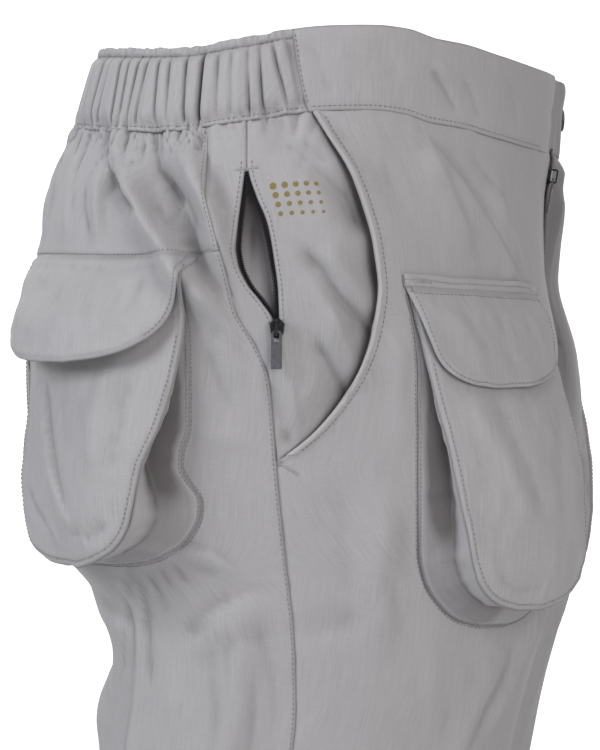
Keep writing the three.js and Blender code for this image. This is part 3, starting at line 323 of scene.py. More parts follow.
def noise(u, v, seed=0):
    """Smooth noise from -1 to 1 on a unit lattice."""
    u, v = np.broadcast_arrays(np.asarray(u, float), np.asarray(v, float))
    i, j = np.floor(u), np.floor(v)
    s, t = u - i, v - j
    s, t = s * s * (3 - 2 * s), t * t * (3 - 2 * t)
    low = lattice(i, j, seed) * (1 - s) + lattice(i + 1, j, seed) * s
    high = lattice(i, j + 1, seed) * (1 - s) + lattice(i + 1, j + 1, seed) * s
    return 2 * (low * (1 - t) + high * t) - 1


def arc(angle):
    """The length round the form that an angle stands for."""
    return np.radians(angle) * ARC_RADIUS


def flattened(line):
    """A line of (angle, z) as lengths across and up."""
    return np.array([(math.radians(a) * ARC_RADIUS, h) for a, h in line])


def ridges(folds, angle, z):
    """The height of ridges along paths of (angle, z). Each fold is (path, height, width on its left,
    width on its right, taper), left and right as the path goes with angles to the right."""
    x, y = (np.array(v) for v in np.broadcast_arrays(arc(angle), np.asarray(z, float)))
    total = np.zeros(x.shape)
    for path, height, left, right, taper in folds:
        points = flattened(path)
        reach = 3 * max(left, right)
        low, high = points.min(axis=0) - reach, points.max(axis=0) + reach
        near = (x > low[0]) & (x < high[0]) & (y > low[1]) & (y < high[1])
        if not near.any():
            continue
        spot = np.stack([x[near], y[near]], axis=-1)
        best = np.full(len(spot), 1e9)
        run_at, turn = np.zeros(len(spot)), np.zeros(len(spot))
        run = 0.0
        for a, b in zip(points[:-1], points[1:]):
            along = b - a
            length = np.hypot(*along)
            away = spot - a
            t = np.clip(away @ along / length**2, 0, 1)
            distance = np.linalg.norm(away - t[:, None] * along, axis=1)
            closer = distance < best
            best[closer] = distance[closer]
            run_at[closer] = run + t[closer] * length
            turn[closer] = np.sign(along[0] * away[closer, 1] - along[1] * away[closer, 0])
            run += length
        width = np.where(turn > 0, left, right)
        ends = np.minimum(run_at, run - run_at)
        total[near] += height * smoothstep(ends, -0.3 * taper, taper) * np.exp(-((best / width) ** 2))
    return total


HIP_FOLD_SHARE = 1.6  # how much higher the folds over the yoke's seam stand
SHARP_SIDE, SOFT_SIDE = 0.62, 1.15  # a fold's widths on its two sides, as shares of its width
LOWER_LEG = -400  # below this the creases are broad and have little shade
LOW_WIDER, LOW_LONGER = 1.9, 1.6


def folds_of(sign):
    """The main folds of one side, with those of the left a little moved."""
    moved = []
    for path, height, width, left, left_height in FOLDS:
        if sign > 0:
            path, height = [(a, z + left) for a, z in path], height * left_height
        sharp = SHARP_SIDE if path[0][1] > LOWER_LEG else 1.0
        height *= HIP_FOLD_SHARE if path[0][1] > YOKE_SEAM else 1.0
        moved.append((path, height, sharp * width, SOFT_SIDE * width, FOLD_TAPER))
    for i, (path, height, wide, narrow, taper) in enumerate(CREASES):
        if path[0][1] < LOWER_LEG:
            wide, narrow, taper = LOW_WIDER * wide, LOW_WIDER * narrow, LOW_LONGER * taper
        if sign > 0:
            drop = 9 * math.sin(2.3 * i + 0.4)
            turn = 1.6 * math.sin(1.7 * i)
            height = height * (0.75 + 0.35 * math.sin(3.1 * i))
            path = [(a + turn, z + drop) for a, z in path]
        moved.append((path, height, wide, narrow, taper))
    return moved


main_folds = {sign: folds_of(sign) for sign in (-1, 1)}


def undulation(sign, angle, z):
    """Soft unevenness all over the cloth."""
    u, v = arc(angle), np.asarray(z, float)
    seed = 3 if sign < 0 else 11
    broad = noise(u / 46 + 0.012 * v, v / 90, seed) * 1.1
    middle = noise(u / 17 + 0.02 * v, v / 44, seed + 1) * 0.38
    small = noise(u / 8 - 0.015 * v, v / 19, seed + 2) * 0.12
    return broad + middle + small


def surface(sign, around, z, lift=0.0):
    """Points on one side, -1 the right and 1 the left, moved out by its folds and by lift. Angles past
    the centre plane run on round the other side."""
    around, z, lift = (np.array(v, float) for v in np.broadcast_arrays(around, z, lift))
    centre = centre_angle(z)
    crosses = (np.abs(around) > centre) & (z > CROTCH)
    angle = np.where(crosses, np.sign(around) * 2 * centre - around, around)
    signs = np.where(crosses, -sign, sign)
    point = form_point(angle, z)
    step = 0.05
    up = form_point(angle, z + step) - form_point(angle, z - step)
    turn = form_point(angle + step, z) - form_point(angle - step, z)
    normal = np.cross(up, turn)
    normal /= np.linalg.norm(normal, axis=-1, keepdims=True)
    height = np.zeros(angle.shape)
    for value in (-1, 1):
        here = signs == value
        if here.any():
            a, h = angle[here], z[here]
            uneven = undulation(value, a, h) * smoothstep(h, *UNEVEN_FROM)
            height[here] = ridges(main_folds[value], a, h) + uneven
    height *= smoothstep(point[..., 0], 0, CALM_NEAR_CENTRE)
    point = point + normal * (lift + height)[..., None]
    point[..., 0] *= signs
    return point


def offset_edge(edge, mm):
    """An edge moved round the form by so many millimetres, towards larger angles."""
    return lambda z: edge(z) + mm * degrees_per_mm(edge(z), z)


EDGE_PLACES = (0, 0.5, 1.1, 1.9, 3, 4.4, 6.2)  # mm from an edge, where columns lie close together


def spread(width, step, fine=EDGE_PLACES):
    """Places across a width, close together near both edges."""
    fine = np.array(fine)
    middle = np.linspace(fine[-1], width - fine[-1], max(int((width - 2 * fine[-1]) / step), 2) + 1)
    return np.concatenate([fine[:-1], middle, (width - fine[:-1])[::-1]])


class Grid:
    """Rows down and columns across a panel between two edges, with each spot's distances in mm from
    the edge it starts at (near), the one it ends at (far), the top and the bottom."""

    def __init__(self, start, end, rows, step, typical_z):
        rows = np.asarray(rows, float)
        z = rows[:, None]
        first, last = np.asarray(start(z), float) + 0 * z, np.asarray(end(z), float) + 0 * z
        line = form_point(first + (last - first) * np.linspace(0, 1, 60)[None, :], z)
        widths = np.linalg.norm(np.diff(line, axis=1), axis=-1).sum(axis=1)[:, None]
        typical_width = float(widths[int(np.argmin(np.abs(rows - typical_z))), 0])
        places = spread(typical_width, step)[None, :]
        total, fine = places[0, -1], EDGE_PLACES[-1]
        # near the edges the places keep their own distances, whatever the row's width
        scale = (widths - 2 * fine) / (total - 2 * fine)
        inside = fine + (places - fine) * scale
        from_far = widths - (total - places)
        across = np.where(places <= fine, places, np.where(places >= total - fine, from_far, inside))
        across = np.where(widths > 3 * fine, across, places / total * widths)
        self.angle = first + (last - first) * (across / widths)
        self.z = z + 0 * self.angle
        self.near, self.far = across, widths - across
        self.top, self.bottom = rows[0] - self.z, self.z - rows[-1]


materials = {}


def make_object(name, vertices, faces, uv=None, material="cloth", thick=None, smooth=True, shade=None):
    mesh = bpy.data.meshes.new(name)
    vertices = np.asarray(vertices, float).reshape(-1, 3) / 1000
    mesh.from_pydata(vertices.tolist(), [], [list(map(int, f)) for f in faces])
    if uv is not None:
        layer = mesh.uv_layers.new(name="cloth")
        index = np.empty(len(mesh.loops), np.int32)
        mesh.loops.foreach_get("vertex_index", index)
        layer.data.foreach_set("uv", np.asarray(uv, float).reshape(-1, 2)[index].astype(np.float32).ravel())
    if shade is not None:
        layer = mesh.attributes.new("shade", "FLOAT", "POINT")
        layer.data.foreach_set("value", np.asarray(shade, np.float32).ravel())
    if smooth:
        mesh.polygons.foreach_set("use_smooth", [True] * len(mesh.polygons))
    mesh.update()
    obj = bpy.data.objects.new(name, mesh)
    bpy.context.scene.collection.objects.link(obj)
    obj.data.materials.append(materials[material])
    if thick:
        shell = obj.modifiers.new("cloth", "SOLIDIFY")
        shell.thickness = thick / 1000
        shell.offset = -1
        shell.use_even_offset = False
    return obj


def grid_faces(rows, columns, keep=None):
    index = np.arange(rows * columns).reshape(rows, columns)
    quads = np.stack([index[:-1, :-1], index[1:, :-1], index[1:, 1:], index[:-1, 1:]], axis=-1)
    return (quads if keep is None else quads[keep]).reshape(-1, 4)


def looks_towards(points, faces, inner):
    """Whether the faces look towards the inner point."""
    a, b, c = (points[faces[:, i]] for i in (0, 1, 2))
    return (np.cross(b - a, c - a) * ((a + c) / 2 - inner)).sum() < 0


def blurred(field, times):
    """The field averaged with its neighbours so many times."""
    for _ in range(times):
        wide = np.pad(field, ((1, 1), (1, 1)) + ((0, 0),) * (field.ndim - 2), mode="edge")
        field = (wide[:-2, 1:-1] + wide[2:, 1:-1] + wide[1:-1, :-2] + wide[1:-1, 2:] + 2 * field) / 6
    return field


# Painted shade of the creases:
SHALLOW = 0.13  # mm of hollow that casts no shade of its own
HOLLOW_SHADE, HOLLOW_SHADE_LIMIT = 0.38, 0.26  # the shade of each further mm
SHADE_RANGE = (-0.1, 0.85)


def hollows(points, outward_sign):
    """How deep each spot lies in a crease, in mm, from two scales of averaging."""
    down, across = np.gradient(points, axis=0), np.gradient(points, axis=1)
    normal = np.cross(across, down) * outward_sign
    normal /= np.maximum(np.linalg.norm(normal, axis=-1, keepdims=True), 1e-9)
    total = np.zeros(points.shape[:2])
    for times, weight in ((2, 1.3), (6, 0.3)):
        total += weight * ((blurred(points, times) - points) * normal).sum(axis=-1)
    for edge in (np.s_[:2], np.s_[-2:], np.s_[:, :2], np.s_[:, -2:]):
        total[edge] = 0
    return total


def grid_uv(points):
    """Lengths across and down the cloth itself, in metres."""
    gaps = np.linalg.norm(np.diff(points, axis=1), axis=-1)
    across = np.cumsum(np.concatenate([np.zeros((points.shape[0], 1)), gaps], axis=1), axis=1)
    across -= across.mean(axis=1, keepdims=True)
    return np.stack([across, points[..., 2]], axis=-1) / 1000


def cloth_piece(name, points, node, material="cloth", thick=CLOTH, keep=None, inside=None,
                painted_shade=0.0, weight=1.0):
    """A grid of cloth, with a painted shade from 0 to 1 that is darker in its creases and adds the painted
    shade it is given.
    """
    rows, columns = points.shape[:2]
    faces = grid_faces(rows, columns, keep)
    flat = points.reshape(-1, 3)
    centre = np.array(inside if inside is not None else flat.mean(axis=0) * np.array([0.5, 0.2, 1]))
    turned = looks_towards(flat, faces, centre)
    if turned:
        faces = faces[:, ::-1]
    # Painted shade in the creases, from how deep each spot lies in one
    deeper = hollows(points, 1 if turned else -1) - SHALLOW
    shade = np.clip(deeper * HOLLOW_SHADE, 0, HOLLOW_SHADE_LIMIT) * weight + painted_shade
    used, faces = np.unique(faces, return_inverse=True)
    uv = grid_uv(points).reshape(-1, 2)[used]
    obj = make_object(name, flat[used], faces.reshape(-1, 4), uv, material, thick,
                      shade=np.clip(shade, *SHADE_RANGE).ravel()[used])
    finish_piece(name, obj, node)

# Materials


def srgb(*levels):
    return tuple(((v / 255 + 0.055) / 1.055) ** 2.4 if v > 10 else v / 255 / 12.92 for v in levels) + (1.0,)


class Nodes:
    """A material with a Principled shader, and short ways to add the nodes that feed it."""

    def __init__(self, name, color, roughness, **values):
        self.material = bpy.data.materials.new(name)
        self.material.use_nodes = True
        self.tree = self.material.node_tree
        self.shader = self.tree.nodes["Principled BSDF"]
        self.shader.inputs["Base Color"].default_value = color
        self.shader.inputs["Roughness"].default_value = roughness
        for socket, value in values.items():
            self.shader.inputs[socket.replace("_", " ")].default_value = value
        materials[name] = self.material

    def add(self, kind, inputs=None, **settings):
        node = self.tree.nodes.new(kind)
        for key, value in settings.items():
            setattr(node, key, value)
        for key, value in (inputs or {}).items():
            if isinstance(value, bpy.types.NodeSocket):
                self.tree.links.new(value, node.inputs[key])
            else:
                node.inputs[key].default_value = value
        return node

    def cloth_place(self, scale):
        """The cloth's own place in metres, stretched by scale."""
        place = self.add("ShaderNodeTexCoord").outputs["UV"]
        return self.add("ShaderNodeMapping", {"Vector": place, "Scale": scale}).outputs["Vector"]

    def noise(self, scale, detail=2.0, roughness=0.5, distortion=0.0):
        inputs = {"Vector": self.cloth_place(scale), "Scale": 1.0, "Detail": detail, "Roughness": roughness,
                  "Distortion": distortion}
        return self.add("ShaderNodeTexNoise", inputs).outputs["Fac"]

    def mix(self, factor, a, b):
        inputs = {"Factor": factor, "A": a, "B": b}
        return self.add("ShaderNodeMix", inputs, data_type="RGBA").outputs["Result"]

    def bump(self, height, distance, strength=1.0, normal=None):
        inputs = {"Height": height, "Distance": distance, "Strength": strength}
        if normal is not None:
            inputs["Normal"] = normal
        return self.add("ShaderNodeBump", inputs).outputs["Normal"]

    def feed(self, socket, output):
        self.tree.links.new(output, self.shader.inputs[socket])

    def mottle(self, factor, dark, light, low=0.35, high=0.65):
        ramp = self.add("ShaderNodeValToRGB", {"Fac": factor})
        first, last = ramp.color_ramp.elements
        first.position, first.color, last.position, last.color = low, dark, high, light
        return ramp.outputs["Color"]


def woven(name, dark, light, roughness=0.62, sheen=0.1, crinkle=1.0):
    """Smooth nylon cloth: fine slubs run down it, with soft crinkles, and a painted shade darkens its
    creases, seams and recesses.
    """
    m = Nodes(name, light, roughness, Sheen_Weight=sheen, Sheen_Roughness=0.4, Specular_IOR_Level=0.4)
    slubs = m.noise((1700, 46, 1), 3, 0.55)
    cross = m.noise((120, 1500, 1), 2, 0.5)
    weight = m.add("ShaderNodeMath", {0: cross, 1: 0.35, 2: 0.0}, operation="MULTIPLY_ADD").outputs[0]
    both = m.add("ShaderNodeMath", {0: slubs, 1: weight}, operation="ADD").outputs[0]
    threads = m.mottle(both, dark, light, 0.42, 0.86)
    patches = m.noise((14, 9, 1), 3, 0.55)
    worn = m.mix(patches, threads, light)
    # Painted shade: the shade attribute mixes the colour towards a painted shadow colour
    shade = m.add("ShaderNodeAttribute", attribute_name="shade").outputs["Fac"]
    shadow = tuple(c * k for c, k in zip(dark[:3], (0.24, 0.205, 0.205))) + (1,)
    m.feed("Base Color", m.mix(shade, worn, shadow))
    creased = m.noise((70, 42, 1), 5, 0.55, 0.8)
    puckers = m.noise((260, 170, 1), 4, 0.6, 0.5)
    normal = m.bump(creased, 0.0011 * crinkle, 0.5)
    normal = m.bump(puckers, 0.00032 * crinkle, 0.45, normal)
    normal = m.bump(both, 0.00005, 0.8, normal)
    m.feed("Normal", normal)


woven("cloth", srgb(134, 134, 136), srgb(158, 157, 159))
woven("inside", srgb(146, 145, 149), srgb(164, 162, 166), 0.8, 0.05)
woven("binding", srgb(150, 149, 151), srgb(164, 163, 165), 0.55, 0.15, 0.5)


def plain(name, dark, light, roughness, scale, bump=0.00004, **values):
    """A hard or fine part's finish, a little uneven in colour and height."""
    m = Nodes(name, light, roughness, **values)
    place = m.add("ShaderNodeTexCoord").outputs["Object"]
    uneven = m.add("ShaderNodeTexNoise", {"Vector": place, "Scale": scale, "Detail": 3.0}).outputs["Fac"]
    m.feed("Base Color", m.mottle(uneven, dark, light))
    m.feed("Normal", m.bump(uneven, bump, 0.6))
    return m


# The thread is darker than the cloth and the tacks, standing in for the shade along the rows of stitches: a
# painted shade
plain("thread", srgb(112, 110, 113), srgb(138, 136, 139), 0.6, 2600, Sheen_Weight=0.15)
plain("tack_thread", srgb(146, 145, 148), srgb(172, 171, 174), 0.6, 2600, Sheen_Weight=0.15)
tape = Nodes("tape", srgb(18, 18, 20), 0.7)
tape.feed("Normal", tape.bump(tape.noise((3000, 900, 1), 2), 0.00012, 0.8))
plain("teeth", srgb(16, 16, 19), srgb(30, 30, 34), 0.36, 900, 0.00005)
plain("slider_metal", srgb(34, 34, 38), srgb(52, 52, 57), 0.36, 420, 0.00003, Metallic=0.5)
plain("tab_rubber", srgb(70, 70, 75), srgb(86, 86, 91), 0.5, 520)
plain("stud_metal", srgb(60, 58, 57), srgb(84, 81, 78), 0.34, 380, 0.00003, Metallic=0.8)
plain("print", srgb(112, 98, 52), srgb(132, 117, 66), 0.6, 1500, 0.00003)

sides = {"R": -1, "L": 1}
pieces = {}  # name: object


def finish_piece(name, obj, node=None):
    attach(obj, "garment")
    if node:
        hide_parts(node)
    pieces[name] = obj


ROW_PLACES = np.array([0, 0.6, 1.4, 2.4, 3.8, 5.6])  # mm from an edge, where rows lie close together
LOW_ROWS_FROM = -385  # below this the rows of the legs lie further apart


def z_rows(top, bottom, step, low_step=None):
    """Heights from top to bottom, close together near both."""

    def evenly(high, low, gap):
        return np.linspace(high, low, max(int((high - low) / gap), 2) + 1)

    start, end = top - ROW_PLACES[-1], bottom + ROW_PLACES[-1]
    if low_step:
        lower = evenly(LOW_ROWS_FROM, end, low_step)
        middle = np.concatenate([evenly(start, LOW_ROWS_FROM, step), lower[1:]])
    else:
        middle = evenly(start, end, step)
    return np.concatenate([top - ROW_PLACES[:-1], middle, (bottom + ROW_PLACES[:-1])[::-1]])


def panel(name, side, start, end, rows, lift, step, typical_z, node, thick=CLOTH, weight=1.0):
    grid = Grid(start, end, rows, step, typical_z)
    points = surface(sides[side], grid.angle, grid.z, lift(grid))
    # The creases' painted shade is weaker on the lower legs
    weight = weight * (0.2 + 0.8 * smoothstep(grid.z, LOWER_LEG, LOWER_LEG + 70))
    # Painted shade along all four edges: a dark line standing in for the shade at the seams
    painted_shade = 0.5 * sum(bell(away, 0.55) for away in (grid.near, grid.far, grid.top, grid.bottom))
    cloth_piece(name, points, node, thick=thick, painted_shade=painted_shade, weight=weight)


def pucker(along, away, seed, depth=0.35, period=5.5, reach=6.0):
    """Small ripples across a seam that has drawn up its cloth."""
    return depth * noise(along / period, 0.3 * along / period, seed) * np.exp(-away / reach)


def topstitched(away, at, depth=0.32):
    """The groove that a row of stitches pulls into the cloth."""
    return -depth * bell(away - at, 0.9)


def rolled(away, rise=0.5, drop=0.9, width=4.0):
    """An edge that is folded under: it stands up a little and turns down at the very end."""
    return rise * (1 - smoothstep(away, width, width + 4)) - drop * bell(away, 0.7)


def tucked(away, depth=1.1, width=5.0):
    """An edge that runs on under its neighbour."""
    return -depth * (1 - smoothstep(away, width - 1.2, width + 0.6))


# Waistband

def gather_list(sign):
    """The gathers of one side, those behind made up in the same manner."""
    given = list(GATHERS)
    if sign > 0:
        given = [(top + 1.9 * math.sin(2.1 * i), seam + 1.7 * math.sin(2.1 * i + 0.4),
                  deep * (0.8 + 0.4 * math.sin(4.7 * i))) for i, (top, seam, deep) in enumerate(GATHERS)]
    angle, i = min(g[0] for g in given) - HIDDEN_GATHER_PITCH, 0
    while angle > HIDDEN_GATHERS_TO:
        given.append((angle + 0.7 * math.sin(3.3 * i + sign), angle + 1.3 * math.sin(2.2 * i),
                      1.1 + 0.5 * math.sin(5.1 * i + sign)))
        angle -= HIDDEN_GATHER_PITCH * (1 + 0.3 * math.sin(1.9 * i + 0.5 * sign))
        i += 1
    return sorted(given)


def elastic_lift(grid):
    """Rounded ridges with sharp valleys between, from the right's elastic end round the back to the
    left's, and the painted shade of the valleys. The grid's angles go past the back's centre."""
    centre = centre_angle(grid.z)
    down = (WAIST_TOP - grid.z) / BAND_HEIGHT
    places, depths = [], []
    for sign in (-1, 1):
        for top, seam, deep in gather_list(sign):
            angle = top + (seam - top) * down[:, 0]
            places.append(angle if sign < 0 else -2 * centre[:, 0] - angle)
            depths.append(deep)
    order = np.argsort([p.mean() for p in places])
    places, depths = np.array(places)[order], np.array(depths)[order]
    lift, valley = np.zeros(grid.angle.shape), np.zeros(grid.angle.shape)
    for row in range(grid.angle.shape[0]):
        line = np.maximum.accumulate(places[:, row] + np.arange(len(places)) * 1e-6)
        here = grid.angle[row]
        folded = np.maximum(here, -2 * centre[row] - here)
        k = np.clip(np.searchsorted(line, here) - 1, 0, len(line) - 2)
        gap = np.maximum(line[k + 1] - line[k], 1e-3)
        t = np.clip((here - line[k]) / gap, 0, 1)
        wide = gap / degrees_per_mm(folded, grid.z[row])
        puff = (4 * t * (1 - t)) ** 0.45 * np.minimum(0.15 * wide, 1.7) * (0.8 + 0.2 * np.sin(3.7 * k))
        nearest = np.where(t < 0.5, k, k + 1)
        away = np.minimum(t, 1 - t) * wide
        patchy = 0.72 + 0.5 * noise(0.7 * nearest, down[row] * 2.6 + 0.37 * nearest, 8)
        lift[row] = puff - 1.3 * depths[nearest] * patchy * bell(away, 1.2)
        valley[row] = np.clip(depths[nearest] * patchy, 0, 2.2) * bell(away, 0.95)
    along = np.radians(grid.angle) * BAND_RADIUS
    body = smoothstep(down, 0.08, 0.2) * (1 - smoothstep(down, 0.84, 0.97))
    header = 1 - smoothstep(down, 0.05, 0.1)
    fine = noise(along / 1.25, down * 2, 5) * 0.5 + noise(along / 2.6, down * 3, 6) * 0.4
    by_rows = 0.18 + 0.5 * bell(down - 0.13, 0.09) + 0.6 * bell(down - 0.9, 0.1)
    wrinkle = noise(along / 2.1, down * 2.4, 13) * by_rows
    bulge = 1.3 * (1 - np.abs(2 * (down - 0.5) / 0.86).clip(0, 1) ** 4)
    lift = lift * (0.3 + 0.85 * body) + bulge * body + fine * header * 0.9 + wrinkle
    lift += noise(along / 1.5, down * 2, 7) * 0.45 * smoothstep(down, 0.88, 0.98)
    upper_row, lower_row = (down - 0.095) * BAND_HEIGHT, (down - 0.955) * BAND_HEIGHT
    lift -= 0.9 * bell(upper_row, 0.9) + 0.5 * bell(lower_row, 0.8)
    # Painted shade in the valleys, along the band's upper row and bottom edge, and in the header's small
    # hollows
    shade = 0.42 * valley * body + 0.3 * bell(upper_row, 0.7) + 0.5 * bell(grid.bottom, 0.6)
    shade = shade + 0.2 * np.clip(-fine, 0, 1) * header
    return lift + 0.2 - 1.2 * bell(grid.bottom, 0.6) - 0.6 * bell(grid.top, 0.6), shade


band_rows = np.array([22.6, 22, 21.2, 20.2, 19.2, 18.4, 17.8, 17, 15.8, 14, 12, 9.6, 7, 4, 1, -2, -5, -8,
                      -10.6, -13, -15.2, -17, -18.4, -19.6, -20.4, -21.2, -22, -22.7])
grid = Grid(elastic_end, lambda z: -2 * centre_angle(z) - elastic_end(z), band_rows, 1.15, 0)
lift, shade = elastic_lift(grid)
# The band's top edge isn't quite level
wave = 0.5 * noise(grid.angle / 1.6, 0 * grid.angle, 9) * (1 - smoothstep(grid.top, 0, 5))
cloth_piece("band_back", surface(-1, grid.angle, grid.z + wave, lift), "waistband_back", thick=BAND_THICK,
            inside=(0, 0, 0), painted_shade=shade)


def band_front_lift(grid):
    away = np.minimum(grid.top, grid.bottom)
    lift = 0.5 + 0.5 * smoothstep(away, 0, 6) - 0.8 * bell(grid.bottom, 0.6) - 0.5 * bell(grid.top, 0.6)
    lift += topstitched(grid.near, 1.4, 0.45) + topstitched(grid.bottom, 2.2, 0.2)
    lift += 0.25 * noise(grid.angle / 3, grid.z / 9, 12)
    return lift


BAND_CREASES = [
    ([(32.4, 8), (37.1, -4), (40.9, -16)], -1.5, 2.2, 4, 8), ([(41.9, 6), (48, -17)], -1.2, 2.2, 5, 8),
    ([(34, 12), (38.8, 2)], 0.9, 2.5, 3, 6), ([(20, 16), (24, 0), (25, -14)], -0.7, 4, 6, 10),
    ([(55, 14), (60, -4), (61, -16)], -0.8, 4, 5, 10), ([(12, 14), (14, -12)], 0.6, 3, 5, 8),
    ([(5.5, 14), (8, 0), (10.5, -16)], -0.8, 2, 4, 8),
]


def right_band_lift(grid):
    return band_front_lift(grid) + ridges(BAND_CREASES, grid.angle, grid.z) - 0.7 * bell(grid.far, 1.2)


def band_notch(z):
    """The right band's end, drawn in where its two layers meet half-way up."""
    return angle_at_reach(z, band_end(z) + 2.4 * bell(np.asarray(z, float) - 1.5, 3.2))


panel("band_front_R", "R", elastic_end, band_notch, band_rows, right_band_lift, 2.2, 0,
      "waistband_front_R", BAND_THICK)


def past_centre(reach):
    return lambda z: 2 * centre_angle(z) - angle_at_reach(z, reach)


def left_band_lift(grid):
    sinks = smoothstep(grid.angle, angle_at_reach(grid.z, 25), past_centre(20)(grid.z))
    flare = 2.2 * smoothstep(grid.z, 2, 22) * bell(grid.angle - angle_at_reach(grid.z, 42), 9)
    creases = ridges(BAND_CREASES, grid.angle + 4, grid.z) * 0.8 * (1 - sinks)
    return band_front_lift(grid) + creases - 3 * sinks + flare


panel("band_front_L", "L", elastic_end, past_centre(58), band_rows, left_band_lift, 2.6, 0,
      "waistband_front_L", BAND_THICK)

# Yokes and legs

def under_band(grid):
    return tucked(grid.top, 1.0, 4.2)


def hem_turn(grid):
    """The step over the cloth turned up inside the hem, and its row of stitches."""
    step = 0.5 * (1 - smoothstep(grid.bottom, HEM_DEPTH - 3, HEM_DEPTH))
    return step + topstitched(grid.bottom, HEM_ROW, 0.35)


def yoke_gathers(angle, z, seed):
    """The gathers that the elastic draws into the cloth below it, fading at uneven heights."""
    along = arc(angle)
    down = np.maximum(BAND_SEAM - z, 0)
    lean = 0.05 * down
    fine = np.abs(noise(along / 3.4 + lean, 0 * along, seed)) ** 0.6
    broad = np.abs(noise(along / 8.5 + 0.6 * lean, 0 * along, seed + 3)) ** 0.6
    reach = 10 + 8 * noise(along / 7, 0 * along, seed + 1)
    fade, long_fade = np.exp(-down / np.maximum(reach, 3)), np.exp(-down / np.maximum(2.6 * reach, 8))
    seam = noise(along / 1.7, 0 * along, seed + 2) * np.exp(-down / 2.5)
    return (2.8 * fine - 1.7) * fade + (2.6 * broad - 1.7) * long_fade + 0.35 * seam


LEFT_FLY_BULGE = curve([(-20, 5), (-36, 5.5), (-50, 8), (-79, 5), (-105, 3.2), (-125, 4.5), (-150, 6),
                        (-215, 4), (-290, 0)])

for side, sign in sides.items():
    right = sign < 0
    seed = 20 if right else 40
    lap = BUTT if right else CENTRE_LAP

    def centre_back(z):
        """The centre back's seam, with the left's edge past it under the right's."""
        return -centre_angle(z) - lap * degrees_per_mm(-centre_angle(z), z)

    def yoke_lift(grid):
        lift = under_band(grid) + yoke_gathers(grid.angle, grid.z, seed)
        lift += rolled(grid.near, 0.35, 0.8, 3) + topstitched(grid.near, 1.6)
        lift += rolled(grid.bottom, 0.45, 0.9, 3.2) + topstitched(grid.bottom, 1.7, 0.3)
        puckers = pucker(arc(grid.angle), grid.bottom, seed + 5, 0.3)
        lift += puckers + pucker(grid.z, grid.near, seed + 6, 0.3, 6)
        return lift + (rolled(grid.far, 0.3, 0.8, 3) if right else tucked(grid.far))

    # The yokes' creases get a stronger painted shade
    panel(f"yoke_{side}", side, offset_edge(side_seam, BUTT), centre_back, z_rows(UNDER_BAND, -93.9, 2.2),
          yoke_lift, 1.7, -50, f"back_yoke_{side}", weight=2.3)

    def leg_back_lift(grid):
        lift = tucked(grid.top, 0.9, 4.4) + rolled(grid.near, 0.35, 0.8, 3) + topstitched(grid.near, 1.6)
        puckers = pucker(grid.z, grid.near, seed + 7, 0.32, 6.5)
        lift += puckers + pucker(arc(grid.angle), np.maximum(YOKE_SEAM - grid.z, 0), seed + 8, 0.25)
        lift += (rolled(grid.far, 0.3, 0.8, 3) + topstitched(grid.far, 1.6)) if right else tucked(grid.far)
        return lift + hem_turn(grid)

    panel(f"leg_back_{side}", side, offset_edge(side_seam, BUTT), centre_back, z_rows(-89, HEM, 2.7, 4.3),
          leg_back_lift, 2.7, -200, f"back_leg_{side}")

    def front_outer(z):
        """Along the curved edge, and below it under the back's edge at the side seam."""
        z = np.asarray(z, float)
        seam = side_seam(z) - SIDE_LAP * smoothstep(-z, 203, 208) * degrees_per_mm(side_seam(z), z)
        return np.where(z > FRONT_CURVE_END, front_curve(z), np.minimum(seam, 1.2))

    def front_inner(z):
        z = np.asarray(z, float)
        centre = centre_angle(z)
        if right:
            return np.where(z > FLY_END, angle_at_reach(z, np.maximum(fly_right(z), 0)), centre)
        below = centre + CENTRE_LAP * degrees_per_mm(centre, z)
        reach = fly_left(z)
        open_edge = np.where(reach > 0, 2 * centre - angle_at_reach(z, np.maximum(reach, 0)), centre)
        return np.where(z > FLY_END, np.maximum(open_edge, centre + 0.5), below)

    def front_lift(grid):
        lift = under_band(grid)
        edge = rolled(grid.near, 0.6, 0.5, 3) + topstitched(grid.near, 4.6, 0.4)
        lift += np.where(grid.z > FRONT_CURVE_END, edge, tucked(grid.near, 1.0, 4.6))
        lift += pucker(arc(grid.angle), np.maximum(BAND_SEAM - grid.z, 0), seed + 9, 0.3, 7, 8)
        fly = grid.z > FLY_END
        below_fly = rolled(grid.far, 0.3, 0.6, 3) if right else tucked(grid.far)
        lift += np.where(fly, rolled(grid.far, 0.4, 0.9, 3), below_fly)
        stands = 1.3 * smoothstep(40 - grid.far, 0, 40) * smoothstep(-grid.z, 60, 110)
        lift += np.where(fly & right, stands, 0)
        lift += hem_turn(grid)
        if not right:
            stands = LEFT_FLY_BULGE(grid.z) * (1 - smoothstep(grid.far, 60, 110))
            lift += stands * smoothstep(grid.far, 0, 10) * smoothstep(grid.top, 2, 12)
        return lift

    panel(f"leg_front_{side}", side, front_outer, front_inner, z_rows(UNDER_BAND, HEM, 2.7, 4.3),
          front_lift, 2.7, -200, f"front_leg_{side}")

# Painted shade on the left front and the band's left end beside the right front's fly edge, a painted
# shadow of that edge

for name, level in (("leg_front_L", 0.62), ("band_front_L", 0.45)):
    mesh = pieces[name].data
    co = np.array([v.co for v in mesh.vertices]) * 1000
    past_fly = smoothstep(co[:, 0], -40, -25) * (1 - smoothstep(co[:, 0], 12, 62))
    under_fly = past_fly * (co[:, 1] < -70) * (1 - smoothstep(-co[:, 2], 150, 230))
    shade = np.zeros(len(co), np.float32)
    mesh.attributes["shade"].data.foreach_get("value", shade)
    mesh.attributes["shade"].data.foreach_set("value", (shade + level * under_fly).astype(np.float32))

# Side panels, sunk along the curved edges of the fronts, with the slots of their zips

